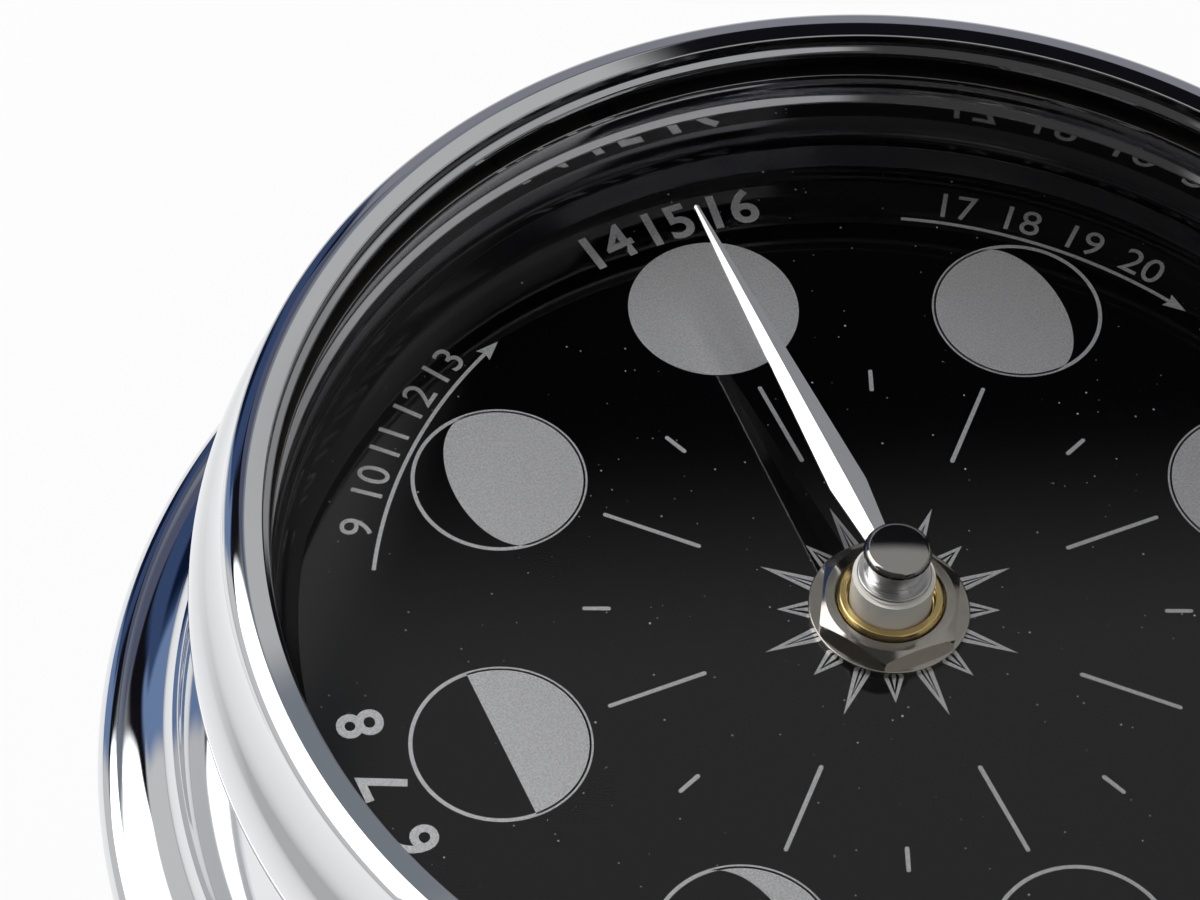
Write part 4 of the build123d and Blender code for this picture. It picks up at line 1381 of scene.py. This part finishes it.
@dataclass
class Hand:
    """Collet, ridged hand that is bent up from its eye, and polished cap."""

    rest_angle: float = 0.65
    tube_bore: float = 0.9
    neck_radius: float = 1.75
    collet_radius: float = 2.75
    collet_low: float = 22.85
    collet_round: float = 0.14
    collet_steps: int = 6
    low: float = 23.4
    eye_radius: float = 2.25
    eye_top: float = 23.65
    edge: float = 0.2
    edge_round: float = 0.06
    ridge: float = 0.25
    crease: float = 8
    stations: tuple[Point, ...] = ((1.9, 1.1), (3.45, 1.94), (8.1, 2.9), (35.8, 0.37))
    length: float = 36.1
    tip_rise: float = 1.5
    tip_steps: int = 8
    flat_slope: float = 0.02
    cap_radius: float = 2.5
    cap_low: float = 25.45
    cap_top: float = 26.3
    cap_dome: float = 0.07
    cap_round: float = 0.43
    cap_foot_round: float = 0.2
    cap_neck: float = 1.95
    cap_fit: float = 0.05
    cap_round_steps: int = 10
    cap_dome_steps: int = 12
    pin_radius: float = 0.85
    pin_low: float = 21.65
    steps: int = 96

    def collet(self) -> Piece:
        """Turn the collet with its rounded shoulder."""
        outline = block(self.neck_radius, self.collet_radius, self.collet_low, self.low)
        rounded = softened(outline, self.collet_round, self.collet_steps)
        return dress(Bench.turn("collet_turned", rounded, self.steps), Finish.NECK_NICKEL)

    def blade(self) -> Piece:
        """Shape the hand: an outline raised to a ridge, climbing from a round eye."""
        widest = max(width for _, width in self.stations)
        side = [(width / 2, radius) for radius, width in self.stations]
        tip = arc(side[-1], (0.0, self.length), (-side[-1][0], side[-1][1]), self.tip_steps)
        corners = side + tip + [(-x, y) for x, y in reversed(side[:-1])]
        places = [(x, y, self.low) for x, y in corners]
        piece = Bench.draw("hand_blade", places, closed=True)
        bpy.ops.mesh.edge_face_add()
        step = (0, 0, self.edge * MM)
        bpy.ops.mesh.extrude_region_move(TRANSFORM_OT_translate={"value": step})
        cuts = [((0, 0, 0), (1, 0, 0))]
        cuts += [((0, radius * MM, 0), (0, 1, 0)) for radius, _ in self.stations[1:]]
        for where, normal in cuts:
            bpy.ops.mesh.select_all(action="SELECT")
            bpy.ops.mesh.bisect(plane_co=where, plane_no=normal)
        for radius, width in (*self.stations, (self.length, self.stations[-1][1])):
            rise = self.ridge * width / widest * MM

            def on_ridge(vertex: bmesh.types.BMVert, along: float = radius * MM) -> bool:
                """Whether a vertex is on the middle of the top, at this station."""
                high = vertex.co.z > (self.low + self.edge / 2) * MM
                return high and abs(vertex.co.x) < MM / 500 and abs(vertex.co.y - along) < MM / 100

            Bench.choose(piece, "VERT", on_ridge)
            bpy.ops.transform.translate(value=(0, 0, rise))
        Bench.mend()
        Bench.settle(piece, self.crease)
        climb = Matrix.Identity(4)
        climb[2][1] = self.tip_rise / self.length
        piece.data.transform(climb)
        eye = softened(block(self.tube_bore, self.eye_radius, self.low, self.eye_top), self.edge_round)
        Bench.carve(piece, Bench.turn("hand_eye", eye, self.steps), "UNION")
        under, neck = self.low - 1, self.cap_neck + self.cap_fit
        bore = [
            (0.0, under),
            (self.tube_bore, under),
            (self.tube_bore, self.eye_top),
            (neck, self.eye_top),
            (neck, self.cap_top),
            (0.0, self.cap_top),
        ]
        Bench.carve(piece, Bench.turn("hand_bore", bore, self.steps, from_axis=True), "DIFFERENCE")
        piece.data.transform(Matrix.Rotation(math.radians(-self.rest_angle), 4, "Z"))
        bpy.ops.object.shade_smooth_by_angle(angle=math.radians(self.crease))
        dress(piece, Finish.HAND_POLISHED, Finish.HAND_BRUSHED)
        for face in piece.data.polygons:
            slope = face.normal.x
            level = abs(slope) < self.flat_slope
            face.material_index = int(slope > self.flat_slope or (level and face.center.x > 0))
        return piece

    def cap(self) -> Piece:
        """Turn the cap with its faintly domed top, rounded edge, neck and pin."""
        flat = self.cap_radius - self.cap_round
        shoulder = (flat, self.cap_top - self.cap_dome - self.cap_round)
        outline = [
            (0.0, self.pin_low),
            (self.pin_radius, self.pin_low),
            (self.pin_radius, self.eye_top),
            (self.cap_neck, self.eye_top),
            (self.cap_neck, self.cap_low),
            (self.cap_radius - self.cap_foot_round, self.cap_low),
            (self.cap_radius, self.cap_low + self.cap_foot_round),
        ]
        outline += quarter(shoulder, self.cap_round, self.cap_round, self.cap_round_steps)
        for step in range(1, self.cap_dome_steps + 1):
            radius = flat * (1 - step / self.cap_dome_steps)
            outline.append((radius, self.cap_top - self.cap_dome * (radius / flat) ** 2))
        rounded = softened(outline, self.edge_round)
        piece = Bench.turn("cap_turned", rounded, self.steps, from_axis=True)
        dress(piece, Finish.CAP_NICKEL, Finish.NECK_NICKEL)
        for face in piece.data.polygons:
            face.material_index = int(face.center.z < (self.cap_low - 0.01) * MM)
        return piece

    def build(self) -> None:
        """Make and mount the three pieces."""
        mount(self.collet(), "hand_spindle", "hub_chrome", "hand_collet")
        mount(self.blade(), "hand_spindle", "hand_silver", "moon_hand")
        mount(self.cap(), "hand_spindle", "hub_chrome", "hand_cap")


@dataclass
class Movement:
    """The quartz movement: CAD nodes that keep their shape and get their finishes."""

    other_names: dict[str, str] = field(
        default_factory=lambda: {"hub_chrome": "hub_nickel", "hand_silver": "hand_polished"}
    )

    def finish(self, slot: str) -> Finish:
        """Look up the finish of a material slot, which has the slot's name or another one."""
        return Finish[self.other_names.get(slot, slot).upper()]

    def build(self) -> None:
        """Give every CAD node the finish of its material slot."""
        for name, node in sorted(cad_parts.items()):
            for holder in node.material_slots:
                slot = holder.material.name.split(".")[0]
                holder.material = RACK.get(self.finish(slot))
                log.info("%s has the finish of %s", name, slot)


# Studio


@dataclass
class PhotoCamera:
    """The camera, placed and turned as the photograph was taken."""

    location: Place = (-98.927, -149.690, 267.803)
    turns: Place = (-34.49208, 15.72347, 18.0756)
    lens: float = 124.61
    sensor: float = 36.0

    def build(self) -> None:
        """Make the camera and give it to the scene."""
        data = bpy.data.cameras.new("photo_camera")
        data.lens = self.lens
        data.sensor_width = self.sensor
        data.clip_start = 0.01
        data.clip_end = 20
        camera = bpy.data.objects.new("photo_camera", data)
        about_x, about_y, about_z = (
            Matrix.Rotation(math.radians(turn), 4, axis) for turn, axis in zip(self.turns, "XYZ")
        )
        turned = (about_z @ about_y @ about_x).transposed()
        camera.matrix_world = Matrix.Translation(Vector(self.location) * MM) @ turned
        bpy.context.scene.collection.objects.link(camera)
        bpy.context.scene.camera = camera


def direction(azimuth: float, elevation: float) -> Vector:
    """Turn an azimuth from +X and an elevation, both in degrees, into a direction."""
    turn, lift = math.radians(azimuth), math.radians(elevation)
    level = math.cos(lift)
    return Vector((level * math.cos(turn), level * math.sin(turn), math.sin(lift)))


@dataclass(frozen=True)
class Card:
    """One straight-edged patch of light or dark on the tent, as seen from the clock."""

    level: float | Colour
    soft: float
    corners: tuple[Point, ...]

    def edges(self) -> list[Vector]:
        """Work out the planes of its edges, each facing the card's inside."""
        places = [direction(*corner) for corner in self.corners]
        middle = sum(places, Vector())
        made = []
        for first, second in zip(places, places[1:] + places[:1]):
            normal = first.cross(second).normalized()
            made.append(normal if normal.dot(middle) > 0 else -normal)
        return made

    def colour(self) -> Colour:
        """Return its level as a colour."""
        return self.level if isinstance(self.level, tuple) else (self.level,) * 3


TENT_CARDS = (
    # ceiling, whose far edge the dial mirrors, and its dark part behind the camera
    Card(0.38, 2.0, ((0, 23.8), (120, 42.8), (180, 62), (220, 60), (272, 35), (330, 30))),
    Card(0.05, 2.0, ((175, -2), (271, -2), (271, 76), (175, 76))),
    # wall on the right
    Card(0.26, 2.0, ((-62, 6), (24, 6), (22, 36), (0, 42), (-62, 44))),
    # grey wall on the far side
    Card((0.24, 0.24, 0.28), 1.0, ((30, -2), (92, -2), (84, 39.5), (40, 39.5))),
    # middle grey and the light strip in it, beside the window
    Card((0.20, 0.22, 0.25), 0.7, ((70.5, 37), (91, 35), (91, 54), (81, 63), (71.5, 63))),
    Card(0.5, 0.7, ((64.5, 43.2), (71.5, 43), (76, 50), (80.5, 56.6), (72.2, 56.6))),
    # window on the left, and the dim wall under it
    Card(2.3, 0.7, ((79.5, 60), (86.5, 55.5), (116, 39.5), (140, 22), (175, 25), (150, 66), (74, 70))),
    Card(0.62, 2.0, ((110, -2), (190, -2), (190, 28), (118, 30))),
    # dark cloth in front of the window
    Card((0.16, 0.24, 0.42), 2.0, ((110, -2), (128, -2), (125, 26), (118, 34), (110, 37))),
    Card((0.09, 0.10, 0.16), 1.0, ((79.5, 37), (93, 35), (93, 50), (84.5, 55.5), (80, 52))),
    Card((0.04, 0.07, 0.16), 1.5, ((88, 5), (114, 5), (116, 29), (97, 44), (91, 41))),
    Card((0.004, 0.009, 0.03), 3.0, ((101, -1), (112, -1), (113, 21), (101, 24))),
)


@dataclass
class Studio:
    """Pale floor, white surroundings, one large soft lamp and a tent that metal mirrors."""

    floor_size: float = 6.0
    tent_radius: float = 2.5
    base_level: Colour = (0.006, 0.006, 0.008)
    cards: tuple[Card, ...] = TENT_CARDS
    lamp_place: Place = (-0.377, 0.709, 0.958)
    lamp_size: float = 0.45
    lamp_power: float = 9.0
    surround: float = 0.55
    floor_share: float = 0.82
    # Painted fall-off of light: the floor's white, as mirrors see it, darkens with the distance from
    # the clock.
    floor_fades: tuple[tuple[Point, Point], ...] = (
        ((0.065, 0.11), (1.0, 0.83)),
        ((0.11, 0.19), (1.0, 0.48)),
    )

    def floor(self) -> None:
        """Lay the floor: white to the camera and in mirrors, with the clock's shadow."""
        Bench.clear()
        bpy.ops.mesh.primitive_plane_add(size=self.floor_size)
        piece = Bench.adopt("studio_floor")
        recipe = Recipe("floor_white", Roughness=0.9)
        recipe.colour(recipe.noise(300, 2), (0.86, 0.86, 0.86), (0.9, 0.9, 0.9))
        self.show_white(recipe)
        piece.data.materials.append(recipe.material)

    def show_white(self, recipe: Recipe) -> None:
        """Mix white into what the camera and mirrors see of the floor.

        Args:
            recipe: The floor's material. In mirrors its white fades with the distance from the clock: a
                painted fall-off of light.
        """
        level = recipe.node("LightPath").outputs["Is Camera Ray"]
        # Painted fall-off of light on the floor as mirrors see it, by the distance from the clock's
        # axis.
        away = recipe.from_axis()
        near, far = (recipe.ranged(away, *fade) for fade in self.floor_fades)
        level = recipe.math("MAXIMUM", level, recipe.math("MULTIPLY", near, far))
        white = recipe.node("Emission")
        recipe.join(level, white.inputs["Strength"])
        share = recipe.math("MULTIPLY", recipe.seen(), self.floor_share)
        recipe.mix(share, recipe.shader, white)

    def tent(self) -> None:
        """Raise the tent: a dome that only mirrors see, with light and dark cards."""
        Bench.clear()
        bpy.ops.mesh.primitive_uv_sphere_add(segments=64, ring_count=32, radius=self.tent_radius)
        piece = Bench.adopt("studio_tent")
        bpy.ops.object.mode_set(mode="EDIT")
        Bench.choose(piece, "VERT", lambda v: v.co.z < -MM)
        bpy.ops.mesh.delete(type="VERT")
        bpy.ops.mesh.select_all(action="SELECT")
        bpy.ops.mesh.flip_normals()
        Bench.settle(piece)
        piece.data.materials.append(self.tent_cards())
        piece.visible_camera = False
        piece.visible_diffuse = False
        piece.visible_shadow = False
        piece.visible_transmission = False

    def tent_cards(self) -> bpy.types.Material:
        """Make the tent's material: a base level with the cards laid over it in order."""
        recipe = Recipe("tent_cards")
        across = recipe.node("VectorMath")
        across.operation = "NORMALIZE"
        recipe.join(recipe.place, across.inputs[0])
        level: Colour | Socket = self.base_level
        for card in self.cards:
            soft = math.sin(math.radians(card.soft))
            share: Socket | None = None
            for edge in card.edges():
                dot = recipe.node("VectorMath")
                dot.operation = "DOT_PRODUCT"
                dot.inputs[1].default_value = edge
                recipe.join(across.outputs[0], dot.inputs[0])
                inside = recipe.ranged(dot.outputs["Value"], (-soft, soft), (0, 1), smooth=True)
                share = inside if share is None else recipe.math("MULTIPLY", share, inside)
            level = recipe.blended(share, level, card.colour())
        glow = recipe.node("Emission")
        recipe.join(level, glow.inputs["Color"])
        recipe.join(glow.outputs[0], recipe.output)
        return recipe.material

    def lamp(self) -> None:
        """Hang the large soft lamp at the upper left."""
        data = bpy.data.lights.new("soft_lamp", "AREA")
        data.shape = "DISK"
        data.size = self.lamp_size
        data.energy = self.lamp_power
        lamp = bpy.data.objects.new("soft_lamp", data)
        lamp.location = self.lamp_place
        lamp.rotation_mode = "QUATERNION"
        lamp.rotation_quaternion = Vector(self.lamp_place).to_track_quat("Z", "Y")
        lamp.visible_glossy = False
        bpy.context.scene.collection.objects.link(lamp)

    def surroundings(self) -> None:
        """Make the world: white to the camera and in mirrors, an even level for the rest."""
        world = bpy.data.worlds.new("studio_white")
        bpy.context.scene.world = world
        world.use_nodes = True
        back = world.node_tree.nodes["Background"]
        back.inputs["Color"].default_value = (1, 1, 1, 1)
        graph = Graph(world.node_tree)
        level = graph.ranged(graph.seen(), (0, 1), (self.surround, 1))
        graph.join(level, back.inputs["Strength"])

    def build(self) -> None:
        """Set up the floor, tent, lamp and surroundings, and the plain view transform."""
        self.floor()
        self.tent()
        self.lamp()
        self.surroundings()
        bpy.context.scene.view_settings.view_transform = "Standard"


def main() -> None:
    """Build the studio and every sub-assembly in order."""
    logging.basicConfig(level=logging.INFO, format="%(message)s")
    Bench.clear()
    PhotoCamera().build()
    Studio().build()
    Movement().build()
    Case().build()
    GlassStack().build()
    Dial().build()
    Hub().build()
    Hand().build()
    Bench.clear()


if __name__ == "__main__":
    main()
